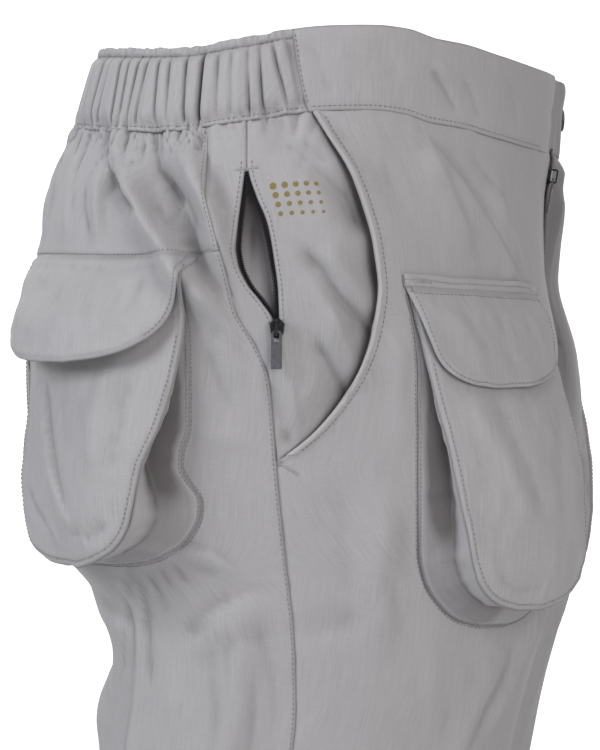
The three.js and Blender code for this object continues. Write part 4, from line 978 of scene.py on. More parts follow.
SINK = curve([(-20, 0.8), (-35, 2.4), (-52, 5.2), (-75, 8.2), (-88, 5.6), (-104, 7.6), (-122, 5), (-138, 8),
              (-158, 5.6), (-172, 7), (-188, 3.6), (-202, 0.6)])
# A side panel's columns, as shares of the way from its seam to the slot and from the slot to its front
REAR_SHARES = np.array([0, 0.04, 0.1, 0.2, 0.3, 0.42, 0.55, 0.68, 0.78, 0.86, 0.92, 0.96, 0.985, 1])
SLOT_SHARES = np.array([0.5, 1])
FRONT_SHARES = np.concatenate([[0.006, 0.015, 0.03, 0.05], np.linspace(0.075, 1, 38)])

for side, sign in sides.items():
    rows = np.unique(np.concatenate([z_rows(UNDER_BAND, -206, 2.3), [ZIP_TOP, ZIP_END]]))[::-1]
    z = rows[:, None]
    rear, front = zip_rear(z), zip_front(z)
    start = side_seam(z) - SIDE_LAP * degrees_per_mm(side_seam(z), z)
    runs_under = np.interp(-z, [17, 150, 190, 206], [11, 11, 5, 2])
    end = front_curve(z) + runs_under * degrees_per_mm(front_curve(z), z)
    end = np.where(z < FRONT_CURVE_END, np.maximum(side_seam(z) + 0.4, front - 0.2), end)
    angle = np.concatenate([start + (rear - start) * REAR_SHARES, rear + (front - rear) * SLOT_SHARES,
                            front + (end - front) * FRONT_SHARES], axis=1)
    z = z + 0 * angle
    per = degrees_per_mm(angle, z)
    to_seam, to_curve = (angle - side_seam(z)) / per, (front_curve(z) - angle) / per
    to_middle = (angle - (rear + front) / 2) / per
    beyond = np.where(angle <= rear, rear - angle, np.where(angle >= front, angle - front, 0)) / per
    in_slot = (z < ZIP_TOP + 1) & (z > ZIP_END - 1)
    above = z > ZIP_TOP  # a short closed seam runs up from the zip to the band
    lift = tucked(UNDER_BAND - z, 1.0, 4.2) + yoke_gathers(angle, z, 60 if sign < 0 else 80) * 0.55
    lift += np.where(to_seam < 1.2, -1.0, 0) * (1 - smoothstep(to_seam, 0.2, 1.4))
    lift -= SINK(z) * (1 - smoothstep(to_curve, 0, 24)) + 1.4 * (1 - smoothstep(to_curve, -1, 3))
    edge = 0.45 * (1 - smoothstep(beyond, 2.5, 5.5)) - 0.7 * bell(beyond, 0.6)
    lift += np.where(in_slot, edge - 0.25 * bell(beyond - 2.2, 0.7), 0)
    lift += np.where(above, -0.9 * bell(to_middle, 0.9), 0)
    keep = np.ones((len(rows) - 1, angle.shape[1] - 1), bool)
    inside = (rows[:-1] <= ZIP_TOP + 0.01) & (rows[1:] >= ZIP_END - 0.01)
    keep[inside, len(REAR_SHARES) - 1 : len(REAR_SHARES) + 1] = False
    # Painted shade along the zip's slot, at the closed seam above it, over the cloth sunk by the curved
    # edge and at the side seam; the creases' painted shade fades out near the bottom
    painted_shade = 0.5 * bell(beyond, 0.5) * in_slot + 0.6 * bell(to_middle, 0.5) * above
    painted_shade = painted_shade + 0.07 * SINK(z) * (1 - smoothstep(to_curve, 0, 8))
    painted_shade = painted_shade + 0.3 * (1 - smoothstep(to_seam, 0, 2))
    cloth_piece(f"hip_panel_{side}", surface(sign, angle, z, lift), f"side_panel_{side}", keep=keep,
                painted_shade=painted_shade, weight=smoothstep(z, -203, -186))

# Binding along the curved edges

BINDING_FROM, BINDING_WIDTH = -0.3, 3.0  # mm across the edge

for side, sign in sides.items():
    z = z_rows(-23, -200.5, 2.2)[:, None]
    across = np.linspace(BINDING_FROM, 2.7, 9)[None, :]
    slope = (front_curve(z + 1) - front_curve(z - 1)) / 2 / degrees_per_mm(front_curve(z), z)
    angle = front_curve(z) + across * np.hypot(1, slope) * degrees_per_mm(front_curve(z), z)
    t = (across - BINDING_FROM) / BINDING_WIDTH
    lift = 0.2 + 1.15 * np.sin(np.pi * t) ** 0.6 - 0.9 * bell(t, 0.08) + 0.12 * noise(z / 3.0, across, 90)
    cloth_piece(f"edge_binding_{side}", surface(sign, angle, z, lift), f"curved_binding_{side}", "binding",
                THIN)

# Zips

TOOTH_PITCH, TOOTH_SIZE = 1.25, (1.7, 0.8, 1.0)
TAPE_THICK, TAPE_ROWS, TAPE_COLUMNS = 0.7, 60, 9


def run_along(line):
    """The length of a line of points up to each of them."""
    return np.concatenate([[0], np.cumsum(np.linalg.norm(np.diff(line, axis=0), axis=1))])


def boxes(centres, ups, outs):
    """Small bevelled blocks, as zip teeth."""
    w, h, d = TOOTH_SIZE
    ring = ((-1, -0.6), (-0.6, -1), (0.6, -1), (1, -0.6), (1, 0.6), (0.6, 1), (-0.6, 1), (-1, 0.6))
    across = np.cross(ups, outs)
    vertices, faces = [], []
    for level, grow in ((-0.5, 1), (0.25, 1), (0.5, 0.62)):
        for a, b in ring:
            corner = centres + across * (a * w / 2 * grow) + ups * (b * h / 2 * grow)
            vertices.append(corner + outs * (level * d))
    vertices = np.stack(vertices, axis=1)
    base = []
    for k in range(2):
        for i in range(8):
            j = (i + 1) % 8
            base.append((k * 8 + i, k * 8 + j, k * 8 + 8 + j, k * 8 + 8 + i))
    caps = [tuple(range(16, 24)), tuple(range(7, -1, -1))]
    for n in range(len(centres)):
        faces += [tuple(n * 24 + v for v in f) for f in base + caps]
    return vertices.reshape(-1, 3), faces


def zip_teeth(name, lines):
    vertices, faces = [], []
    for line in lines:
        run = run_along(line[:, 0])
        at = np.arange(0, run[-1], TOOTH_PITCH)
        centre, out = (np.stack([np.interp(at, run, line[:, part, k]) for k in range(3)], axis=1)
                       for part in (0, 1))
        out /= np.linalg.norm(out, axis=1, keepdims=True)
        up = np.gradient(centre, axis=0)
        up /= np.linalg.norm(up, axis=1, keepdims=True)
        start = sum(len(v) for v in vertices)
        tooth_vertices, tooth_faces = boxes(centre, up, out)
        faces += [tuple(start + i for i in face) for face in tooth_faces]
        vertices.append(tooth_vertices)
    finish_piece(name, make_object(name, np.concatenate(vertices), faces, None, "teeth", smooth=False))


def tape_line(sign, angle, z, lift):
    """Places along a zip with the way out of the cloth, for its teeth."""
    at = surface(sign, angle, z, lift)
    return np.stack([at, surface(sign, angle, z, lift + 1) - at], axis=1)


for side, sign in sides.items():
    z = np.linspace(-45.5, -136.5, TAPE_ROWS)[:, None]
    per = degrees_per_mm(zip_rear(z), z)
    middle = (zip_rear(z) + zip_front(z)) / 2
    strips = []
    for edge, way in ((zip_rear(z), 1), (zip_front(z), -1)):
        free = edge + way * 1.9 * per
        free = np.minimum(free, middle - 0.12 * per) if way > 0 else np.maximum(free, middle + 0.12 * per)
        hidden = edge - way * 6 * per
        across = np.linspace(0, 1, TAPE_COLUMNS)[None, :]
        depth = -1.9 - 0.6 * across**3 + 0.15 * noise(z / 9, across, 95)
        strips.append(surface(sign, hidden + (free - hidden) * across, z, depth))
    faces = grid_faces(TAPE_ROWS, TAPE_COLUMNS)
    faces = np.concatenate([faces, faces + TAPE_ROWS * TAPE_COLUMNS])
    uv = np.concatenate([grid_uv(p).reshape(-1, 2) for p in strips])
    obj = make_object(f"zip_tape_{side}", np.concatenate(strips), faces, uv, "tape", TAPE_THICK)
    finish_piece(f"zip_tape_{side}", obj, f"side_zip_tape_{side}")
    z = np.linspace(ZIP_TOP - 0.5, -128, 200)
    per = degrees_per_mm(zip_rear(z), z)
    middle = (zip_rear(z) + zip_front(z)) / 2
    zip_teeth(f"zip_teeth_{side}", [
        tape_line(sign, np.minimum(zip_rear(z) + 1.9 * per, middle - 0.5 * per), z, -1.2),
        tape_line(sign, np.maximum(zip_front(z) - 1.9 * per, middle + 0.5 * per), z, -1.2),
    ])

    # The pocket's cloth behind the open zip
    z = np.linspace(-44, -150, 60)[:, None]
    across = np.linspace(0, 1, 40)[None, :]
    angle = -9.5 + (9.2 + 9.5) * across
    down = (z + 44) / -106
    deep = (9 - 5 * across) * np.maximum(np.sin(np.pi * across) * np.sin(np.pi * down), 0) ** 0.6
    folds = 1.6 * noise(across * 7 + 0.03 * z, z / 22, 97) + 0.9 * noise(across * 15, z / 30, 98)
    points = surface(sign, angle, z, -2.5 - deep + folds * np.minimum(deep / 6, 1))
    # Painted shadow over the upper part of the pocket's cloth, behind the zip
    painted_bag_shadow = 0.75 * (1 - smoothstep(down + 0.25 * across, 0.35, 0.8))
    cloth_piece(f"pocket_bag_{side}", points, f"side_pocket_bag_{side}", "inside", THIN,
                painted_shade=painted_bag_shadow)

# The fly's zip, its teeth drawn down the opening between the fronts

z = np.linspace(-20, -146, 70)[:, None]
across = np.linspace(0, 1, 14)[None, :]
angle = angle_at_reach(z, 37) + (angle_at_reach(z, 11) - angle_at_reach(z, 37)) * across
points = surface(-1, angle, z, -2.2 + 0.2 * noise(z / 12, across * 2, 99))
cloth_piece("fly_tape", points, "fly_zip_tape", "tape", TAPE_THICK)
z = np.linspace(-44, -144, 240)
zip_teeth("fly_teeth", [tape_line(-1, angle_at_reach(z, reach), z, -1.8) for reach in (24.2, 25.8)])

# Bellows pockets

POCKETS = {"front_pocket": FRONT_FACE, "back_pocket": BACK_FACE}
PLEAT = 5.5
FACE_TURN, LID_TURN = 22, 14  # mm over which a face's and a flap's outlines turn to close at the bottom
LID_ROW = 1.6  # how far below its top a flap's row of stitches runs

# The pockets lie close at their mouths and stand off lower down. The back one's face sags in under
# its flap, and the left front one, its lower half empty, lies flatter.
EASE = {
    "front_pocket": curve([(-106, 0.22), (-117, 0.36), (-140, 0.68), (-165, 0.9), (-190, 1)]),
    "back_pocket": curve([(-94, 0.1), (-101, 0.3), (-109, 0.52), (-118, 0.74), (-130, 0.93), (-142, 1)]),
}
SWELL = {"front_pocket": 1.0, "back_pocket": 0.3}
LEFT_FRONT_SHARE = 0.55
BACK_FACE_SAG = curve([(-118, 3), (-142, 9), (-165, 12), (-195, 13), (-220, 11), (-240, 8), (-256, 6)])
BACK_FLAP_SAG = curve([(-94, 0), (-120, 1), (-150, 3.5)])
NEAR_TURN = {"front_pocket": 0.0, "back_pocket": 1.8}  # degrees that a face's near edge is moved by
BACK_BASE_NEAR = [  # z, angle of the back pocket's front seam, pulled in half-way down
    (-101, -14.9), (-150, -14.8), (-186, -15.4), (-201, -17.4), (-208, -17.7), (-216, -16.2), (-224, -14.6),
    (-231, -15.2), (-245, -19.6), (-253, -26), (-257, -33), (-259, -42),
]
BACK_LID = [  # z, near, far, over
    (-92.8, -13.2, -71.8, 3.6), (-99.5, -13.5, -71.6, 3.6), (-109, -14, -71.3, 3.6),
    (-118, -15, -70.4, 3.6),
    (-129, -16.8, -68.4, 3.6), (-138, -19.6, -65, 3.4), (-146, -24.4, -59.5, 3.2), (-151, -31, -53, 3),
    (-153, -37, -46, 3),
]
FRONT_LID = [  # z, near, far, over
    (-112.4, 29.3, 75.4, 2.4), (-118.5, 30, 75.2, 3), (-128, 31, 74.8, 3.6), (-140, 32, 73.6, 3.4),
    (-151, 33.3, 71.4, 3.2), (-160, 36, 67.4, 3), (-166, 41, 60.5, 3), (-168, 46, 55, 3),
]
LIDS = {"front_pocket": FRONT_LID, "back_pocket": BACK_LID}
LID_SINKS = {"front_pocket": 0.3, "back_pocket": 1.6}  # how far a flap's top edge goes down into its seam
DEEP_SIDE = {"front_pocket": (-262, -215), "back_pocket": (-238, -205)}  # where the side's pleat deepens
# Painted shade of a gusset's cloth: deep in its near side, and over its half next to the leg
SIDE_SHADE = 0.85  # the shade of the cloth tucked deep into a side
BASE_SHADE = {"front_pocket": 0.34, "back_pocket": 0.3}  # and of its half next to the leg


def face_form(pocket, sign, share=None):
    """A pocket's edges and its height over the leg. A flap gives the share of the swell it lies over."""
    solid_near, far, edge, swell = (column(POCKETS[pocket], i) for i in (1, 2, 3, 4))
    face = share is None
    share = SWELL[pocket] if face else share
    flatter = LEFT_FRONT_SHARE if sign > 0 and pocket == "front_pocket" else 1.0

    def near(z):
        return solid_near(z) + NEAR_TURN[pocket]

    def lift(angle, z):
        across = np.clip((angle - near(z)) / (far(z) - near(z)), 0, 1)
        height = (edge(z) + share * swell(z) * np.sin(np.pi * across)) * EASE[pocket](z) * flatter
        if pocket == "back_pocket":
            sag = BACK_FACE_SAG if face else BACK_FLAP_SAG
            height = height - sag(z) * smoothstep(across, 0.05, 0.75)
        return height

    return near, far, lift


def outline_distance(angle, z, outline):
    """The distance in mm of each spot from a line of (angle, z), along the panel."""
    u, v, line = arc(angle), z + 0 * angle, flattened(outline)
    best = np.full(u.shape, 1e9)
    for a, b in zip(line[:-1], line[1:]):
        along = b - a
        length = max(along @ along, 1e-9)
        t = np.clip(((u - a[0]) * along[0] + (v - a[1]) * along[1]) / length, 0, 1)
        best = np.minimum(best, np.hypot(u - a[0] - t * along[0], v - a[1] - t * along[1]))
    return best


def rounded_edge(away, radius, drop):
    """The turn of a folded edge, as a quarter round of that drop."""
    t = np.clip(1 - away / radius, 0, 1)
    return -drop * (1 - np.sqrt(1 - t**2))


def patch_rows(rows, fine_bottom=FACE_TURN):
    """Heights of a patch's rows, closer together where its outline turns to close at the bottom."""
    top, bottom = rows[0][0], rows[-1][0]
    upper = np.linspace(top, bottom + fine_bottom, int((top - bottom - fine_bottom) / 1.9) + 1)
    share = 1 - np.cos(np.linspace(0, np.pi / 2, 16)[::-1])
    return np.concatenate([upper[:-1], bottom + fine_bottom * share])


def outline_of(near, far, rows):
    z = patch_rows(rows)
    return [(float(near(h)), float(h)) for h in z] + [(float(far(h)), float(h)) for h in z[::-1]]


POCKET_FOLDS = {
    # the back pocket's face: a long light ridge down it and small creases over its lower corners
    "back_pocket": [
        ([(-60, -152), (-54, -182), (-47, -212), (-41, -240)], 2.6, 2.6, 8, 16),
        ([(-55, -158), (-50, -190), (-43, -226)], -1.8, 5, 2.4, 14),
        ([(-29, -150), (-33, -184), (-34, -214)], 2.2, 9, 6, 18),
        ([(-25, -156), (-27, -186), (-30, -212)], -1.8, 5, 6, 14),
        ([(-47, -160), (-44, -186), (-42, -204)], -1.4, 6, 7, 16),
        ([(-31, -234), (-37, -240), (-44, -238)], -1.6, 3, 4, 7),
        ([(-52, -236), (-58, -228), (-62, -216)], -1.8, 3, 4, 8),
        ([(-49, -247), (-50, -238), (-54, -228)], 1.4, 3, 3, 7),
        ([(-38, -249), (-39, -240), (-37, -232)], 1.2, 3, 3, 7),
        ([(-66, -170), (-66, -196), (-64, -214)], -1.2, 4, 5, 12),
    ],
    "front_pocket": [
        ([(40, -172), (46, -205), (52, -240)], 2.2, 8, 6, 18),
        ([(45, -170), (51, -205), (57, -238)], -1.6, 6, 6, 16),
        ([(66, -176), (63, -210), (62, -244)], -1.6, 6, 7, 16),
        ([(70, -170), (69, -200), (68, -230)], 1.2, 5, 5, 14),
        ([(43, -262), (50, -268), (57, -266)], -1.3, 3, 4, 7),
        ([(41, -250), (43, -262), (48, -272)], 1.2, 3, 3, 7),
    ],
}
FLAP_FOLDS = {
    "back_pocket": [
        ([(-66, -104), (-58, -124), (-54, -146)], 1.8, 6, 6, 14),
        ([(-46, -102), (-43, -124), (-44, -148)], -1.5, 6, 7, 14),
        ([(-34, -103), (-31, -122), (-30, -143)], 1.9, 6, 5, 12),
        ([(-23, -104), (-24, -118), (-26, -132)], -1.2, 4, 4, 9),
        ([(-60, -104), (-52, -112), (-46, -116)], -1.0, 3, 5, 10),
    ],
    "front_pocket": [
        ([(38, -122), (42, -142), (44, -160)], 1.5, 6, 6, 12),
        ([(54, -122), (52, -142), (53, -164)], -1.5, 6, 7, 14),
        ([(67, -121), (65, -140), (66, -156)], 1.4, 5, 5, 12),
    ],
}

HEADER_Z = -109.6  # the middle of the front pocket's header


def left_folds(folds, sign):
    """The folds as they are on the right, or a little moved for the left."""
    if sign < 0:
        return folds
    return [([(a + 1.5 * math.sin(i + 1), z + 5 * math.sin(2 * i)) for a, z in path],
             height * (0.7 + 0.4 * math.sin(3 * i)), left, right, taper)
            for i, (path, height, left, right, taper) in enumerate(folds)]


def face_surface(pocket, sign, angle, z, extra=0.0):
    _, _, lift = face_form(pocket, sign)
    folds = ridges(left_folds(POCKET_FOLDS[pocket], sign), angle, z)
    u = arc(angle)
    crumple = 0.5 * noise(u / 9, z / 15, 31 + sign) + 0.22 * noise(u / 4.3, z / 6, 32 + sign)
    return surface(sign, angle, z, lift(angle, z) + folds + crumple + extra)


def patch_grid(near, far, z, columns):
    """The angles and heights of a patch, its columns closer together by its edges."""
    z = z[:, None]
    share = spread(100.0, 100 / columns, fine=(0, 0.7, 1.5, 2.6, 4.2, 6.2))[None, :] / 100
    first, last = near(z), far(z)
    return first + (last - first) * share, z + 0 * share


outlines = {}  # (pocket, side, part): its edge as (angle, z)


def add_face(pocket, side):
    near, far, _ = face_form(pocket, sides[side])
    angle, z = patch_grid(near, far, patch_rows(POCKETS[pocket]), 44)
    outline = outline_of(near, far, POCKETS[pocket])
    away = outline_distance(angle, z, outline)
    extra = rounded_edge(away, 2.6, 1.5) + 0.5 * bell(away - 3.4, 2.4) + topstitched(away, 2.4, 0.5)
    points = face_surface(pocket, sides[side], angle, z, extra)
    # Painted shade along the face's edge and its row of stitches
    painted_shade = 0.3 * bell(away, 0.6) + 0.2 * bell(away - 2.4, 0.6)
    cloth_piece(f"{pocket}_front_{side}", points, f"{pocket}_face_{side}", painted_shade=painted_shade)
    outlines[pocket, side, "face"] = outline


def add_bellows(pocket, side):
    """The gusset, from the face's edge down to its seam on the leg, with a pleat pressed into it."""
    sign = sides[side]
    near, far, lift = face_form(pocket, sign)
    base_z, base_near, base_far = (column(POCKETS[pocket], i) for i in (5, 6, 7))
    if pocket == "back_pocket":
        seam_near = curve(BACK_BASE_NEAR)

        def base_near(z):
            return seam_near(base_z(z))

    # down the near side, along the bottom and up the far side
    heights, bottom = patch_rows(POCKETS[pocket]), np.linspace(0, 1, 9)[1:-1]
    h = np.concatenate([heights, np.full(len(bottom), heights[-1]), heights[::-1]])
    share = np.concatenate([np.zeros(len(heights)), bottom, np.ones(len(heights))])
    top_angle = near(h) + (far(h) - near(h)) * share
    base_angle = base_near(h) + (base_far(h) - base_near(h)) * share
    run = run_along(flattened(zip(top_angle, h)))
    even = np.arange(0, run[-1], 1.7)
    h, top_angle, base_angle, share = (np.interp(even, run, v) for v in (h, top_angle, base_angle, share))
    top = face_surface(pocket, sign, top_angle, h, -np.minimum(FLAP_THICK, lift(top_angle, h) - CLOTH))
    base = surface(sign, base_angle, base_z(h), 0.9)
    middle = (near(h) + far(h)) / 2
    inward = surface(sign, middle, h + 25, lift(middle, h + 25) * 0.4)
    wide = np.linalg.norm(top - base, axis=1)[:, None]
    v = np.linspace(0, 1, 19)[None, :, None]
    flat = top[:, None] * (1 - v) + base[:, None] * v
    toward = inward[:, None] - flat
    toward /= np.linalg.norm(toward, axis=2, keepdims=True)
    u, w = even[:, None], v[..., 0]
    side_on = np.clip(1 - share * 4, 0, 1)[:, None] * smoothstep(h, *DEEP_SIDE[pocket])[:, None]
    pleat = np.minimum(PLEAT + 6.5 * side_on, (0.36 + 0.22 * side_on) * wide)
    pleat = pleat * (1 - np.abs(2 * w - 1) ** 0.9)
    wave = smoothstep(w, 0, 0.25) * smoothstep(1 - w, 0, 0.2) * np.minimum(wide / 14, 1)
    slack = 1.6 * noise(u / 15 + 0.6 * w, 1.4 * w, 33 + sign) + 0.8 * noise(u / 6.5, 2.4 * w, 34 + sign)
    slack = slack + 0.35 * noise(u / 3.1, 3 * w, 35)
    stands = 0.7 * bell(w - 1, 0.1) + 0.5 * bell(w, 0.08)
    points = flat + toward * (pleat + slack * wave - stands)[..., None]
    # Painted shade along the gusset's two seams, in its pleat, deep in its near side and over its half next
    # to the leg
    painted_shade = 0.45 * bell((1 - w) * wide, 0.7) + 0.35 * bell(w * wide, 0.7)
    painted_shade = painted_shade + (0.1 + SIDE_SHADE * side_on * smoothstep(w, 0.12, 0.4)) * smoothstep(pleat, 1, PLEAT)
    by_leg = BASE_SHADE[pocket] * np.clip(1.6 - share * 3.4, 0, 1)[:, None] * smoothstep(w, 0.3, 0.5)
    painted_shade = painted_shade + by_leg * (1 - smoothstep(w, 0.9, 0.97))
    cloth_piece(f"{pocket}_bellows_{side}", points, f"{pocket}_gusset_{side}", inside=inward.mean(axis=0),
                painted_shade=painted_shade)
    outlines[pocket, side, "base"] = list(zip(base_angle, base_z(h)))


def add_lid(pocket, side):
    """The flap, of two layers, with a soft wavy edge that stands off the face."""
    sign, rows = sides[side], LIDS[pocket]
    near, far, over = (column(rows, i) for i in (1, 2, 3))
    angle, z = patch_grid(near, far, patch_rows(rows, LID_TURN), 50)
    outline = outline_of(near, far, rows)
    away = outline_distance(angle, z, outline)
    u, down = arc(angle), rows[0][0] - z
    stands = (1.1 + 1.3 * noise(u / 21, z / 30, 36 + sign)) * (1 - smoothstep(away, 0, 14))
    extra = over(z) * smoothstep(down, -2, 16) + stands * smoothstep(down, 14, 32)
    extra = extra - LID_SINKS[pocket] * (1 - smoothstep(down, 0, 3.4))
    extra = extra + rounded_edge(away, 2.2, 1.5) + 0.5 * bell(away - 3, 2.2) + topstitched(away, 2.0, 0.45)
    extra += topstitched(down, LID_ROW, 0.35)
    extra += ridges(left_folds(FLAP_FOLDS[pocket], sign), angle, z) * smoothstep(down, 6, 16)
    extra += 0.45 * noise(u / 6, z / 9, 37 + sign)
    _, _, lift = face_form(pocket, sign, 1.0)
    points = surface(sign, angle, z, lift(angle, np.minimum(z, POCKETS[pocket][0][0])) + extra)
    # Painted shade along the flap's edge stitches and its top row of stitches
    painted_shade = 0.12 * bell(away - 2, 0.6) + 0.25 * bell(down - LID_ROW, 0.6)
    cloth_piece(f"{pocket}_lid_{side}", points, f"{pocket}_flap_{side}", thick=FLAP_THICK, painted_shade=painted_shade)
    outlines[pocket, side, "flap"] = outline


def rounded_wave(values, power):
    return np.sign(values) * np.abs(values) ** power


def add_header(side):
    """The front pocket's rolled header, a flattened tube left open at its ends."""
    sign = sides[side]
    across = np.linspace(0, 1, 56)[None, :]
    turn = np.linspace(0, 2 * np.pi, 25)[:, None]
    bend = 0.5 * noise(across * 7, 0 * across, 41 + sign)
    high = 3.5 * rounded_wave(np.sin(turn), 0.8) * (1 + 0.05 * noise(across * 11, 0 * turn, 42)) + bend
    out = rounded_wave(np.cos(turn), 0.7) * (1 + 0.5 * bell(across, 0.06))
    pinch = 1 - 0.4 * bell(across - 0.1, 0.03) - 0.3 * bell(across - 0.93, 0.03)
    lift = 1.9 + out * pinch + 0.2 * noise(across * 26, turn * 1.5, 43)
    points = surface(sign, 29.2 + (77 - 29.2) * across, HEADER_Z + 0.2 + high, lift)
    cloth_piece(f"pocket_header_{side}", points, f"front_pocket_header_{side}", thick=0.9,
                inside=points.reshape(-1, 3).mean(axis=0))


for side in sides:
    for pocket in POCKETS:
        for add in (add_face, add_bellows, add_lid):
            add(pocket, side)
    add_header(side)

# Stitches, each a small bent pill laid on the cloth it holds

STITCH_PITCH, STITCH_LENGTH, STITCH_RADIUS, TACK_RADIUS = 2.6, 2.0, 0.28, 0.26


def tree_of(*names):
    vertices, faces = [], []
    for name in names:
        mesh = pieces[name].data
        start = len(vertices)
        vertices += [v.co.copy() for v in mesh.vertices]
        faces += [tuple(start + i for i in p.vertices) for p in mesh.polygons]
    return BVHTree.FromPolygons(vertices, faces)


def resample(line, pitch, length):
    """The starts and ends of stitches along a line of points."""
    line = np.asarray(line, float)
    run = run_along(line)
    starts = np.arange(0.3, run[-1] - length, pitch)
    spots = starts[:, None] + np.array([0, 0.5, 1])[None, :] * length
    return np.stack([np.interp(spots, run, line[:, k]) for k in range(3)], axis=-1)


def settle(tree, spots):
    """The spots and the outward normals of the nearest cloth."""
    flat = spots.reshape(-1, 3) / 1000
    places, normals = np.empty_like(flat), np.empty_like(flat)
    for i, spot in enumerate(flat):
        place, normal, _, _ = tree.find_nearest(Vector(spot))
        places[i], normals[i] = place, normal
    return places.reshape(spots.shape) * 1000, normals.reshape(spots.shape)


def pills(places, normals, radius):
    """Stitches through three places each, their ends sunk into the cloth."""
    along = places[:, 2] - places[:, 0]
    along /= np.maximum(np.linalg.norm(along, axis=1, keepdims=True), 1e-9)
    out = normals[:, 1] / np.linalg.norm(normals[:, 1], axis=1, keepdims=True)
    across = np.cross(along, out)
    ends = [places[:, 0] - out * radius * 0.9, places[:, 2] - out * radius * 0.9]
    vertices = [ends[0][:, None]]
    for t, height, size in ((0.14, 0.25, 0.8), (0.5, 0.75, 1.0), (0.86, 0.25, 0.8)):
        middle = places[:, 0] * (1 - t) + places[:, 2] * t if t != 0.5 else places[:, 1]
        middle = middle + out * radius * height
        ring = [middle + radius * size * way for way in (across, out, -across, -out)]
        vertices.append(np.stack(ring, axis=1))
    vertices.append(ends[1][:, None])
    vertices = np.concatenate(vertices, axis=1).reshape(-1, 3)
    faces = []
    for n in range(len(places)):
        b = 14 * n
        for i in range(4):
            j = (i + 1) % 4
            faces.append((b, b + 1 + j, b + 1 + i))
            faces.append((b + 13, b + 9 + i, b + 9 + j))
            for ring in (1, 5):
                faces.append((b + ring + i, b + ring + j, b + ring + 4 + j, b + ring + 4 + i))
    return vertices, faces


def stitches(name, on, lines, pitch=STITCH_PITCH, length=STITCH_LENGTH):
    """Rows of stitches along lines, on the pieces whose names are given."""
    spots = np.concatenate([resample(line, pitch, length) for line in lines])
    places, normals = settle(tree_of(*on), spots)
    vertices, faces = pills(places, normals, STITCH_RADIUS)
    finish_piece(name, make_object(name, vertices, faces, None, "thread"))


def bartacks(name, on, tacks, wide):
    """Close rows of short stitches across each tack, a line of two points."""
    tree = tree_of(*on)
    spots = []
    for a, b in tacks:
        along = (b - a) / np.linalg.norm(b - a)
        _, normal, _, _ = tree.find_nearest(Vector(tuple((a + b) / 2000)))
        across = np.cross(along, np.array(normal)) * wide / 2
        for t in np.arange(0, 1.001, 0.5 / np.linalg.norm(b - a)):
            middle = a + (b - a) * t
            lean = along * 0.2
            spots.append([middle - across - lean, middle, middle + across + lean])
    places, normals = settle(tree, np.array(spots))
    vertices, faces = pills(places, normals, TACK_RADIUS)
    finish_piece(name, make_object(name, vertices, faces, None, "tack_thread"))


def beside(edge, mm, top, bottom):
    """A row down one side at a distance from an edge."""
    z = np.linspace(top, bottom, max(int((top - bottom) / 3.0), 2))
    return edge(z) + mm * degrees_per_mm(edge(z), z), z


def inset(outline, mm):
    """An outline of (angle, z) moved inwards."""
    line = flattened(outline)
    way = np.gradient(line, axis=0)
    way /= np.maximum(np.linalg.norm(way, axis=1, keepdims=True), 1e-9)
    normal = np.stack([-way[:, 1], way[:, 0]], axis=1)
    middle = np.array([(line[:, 0].max() + line[:, 0].min()) / 2, line[:, 1].max() - 5])
    if ((middle - line) * normal).sum() < 0:
        normal = -normal
    moved = line + normal * mm
    return np.degrees(moved[:, 0] / ARC_RADIUS), moved[:, 1]


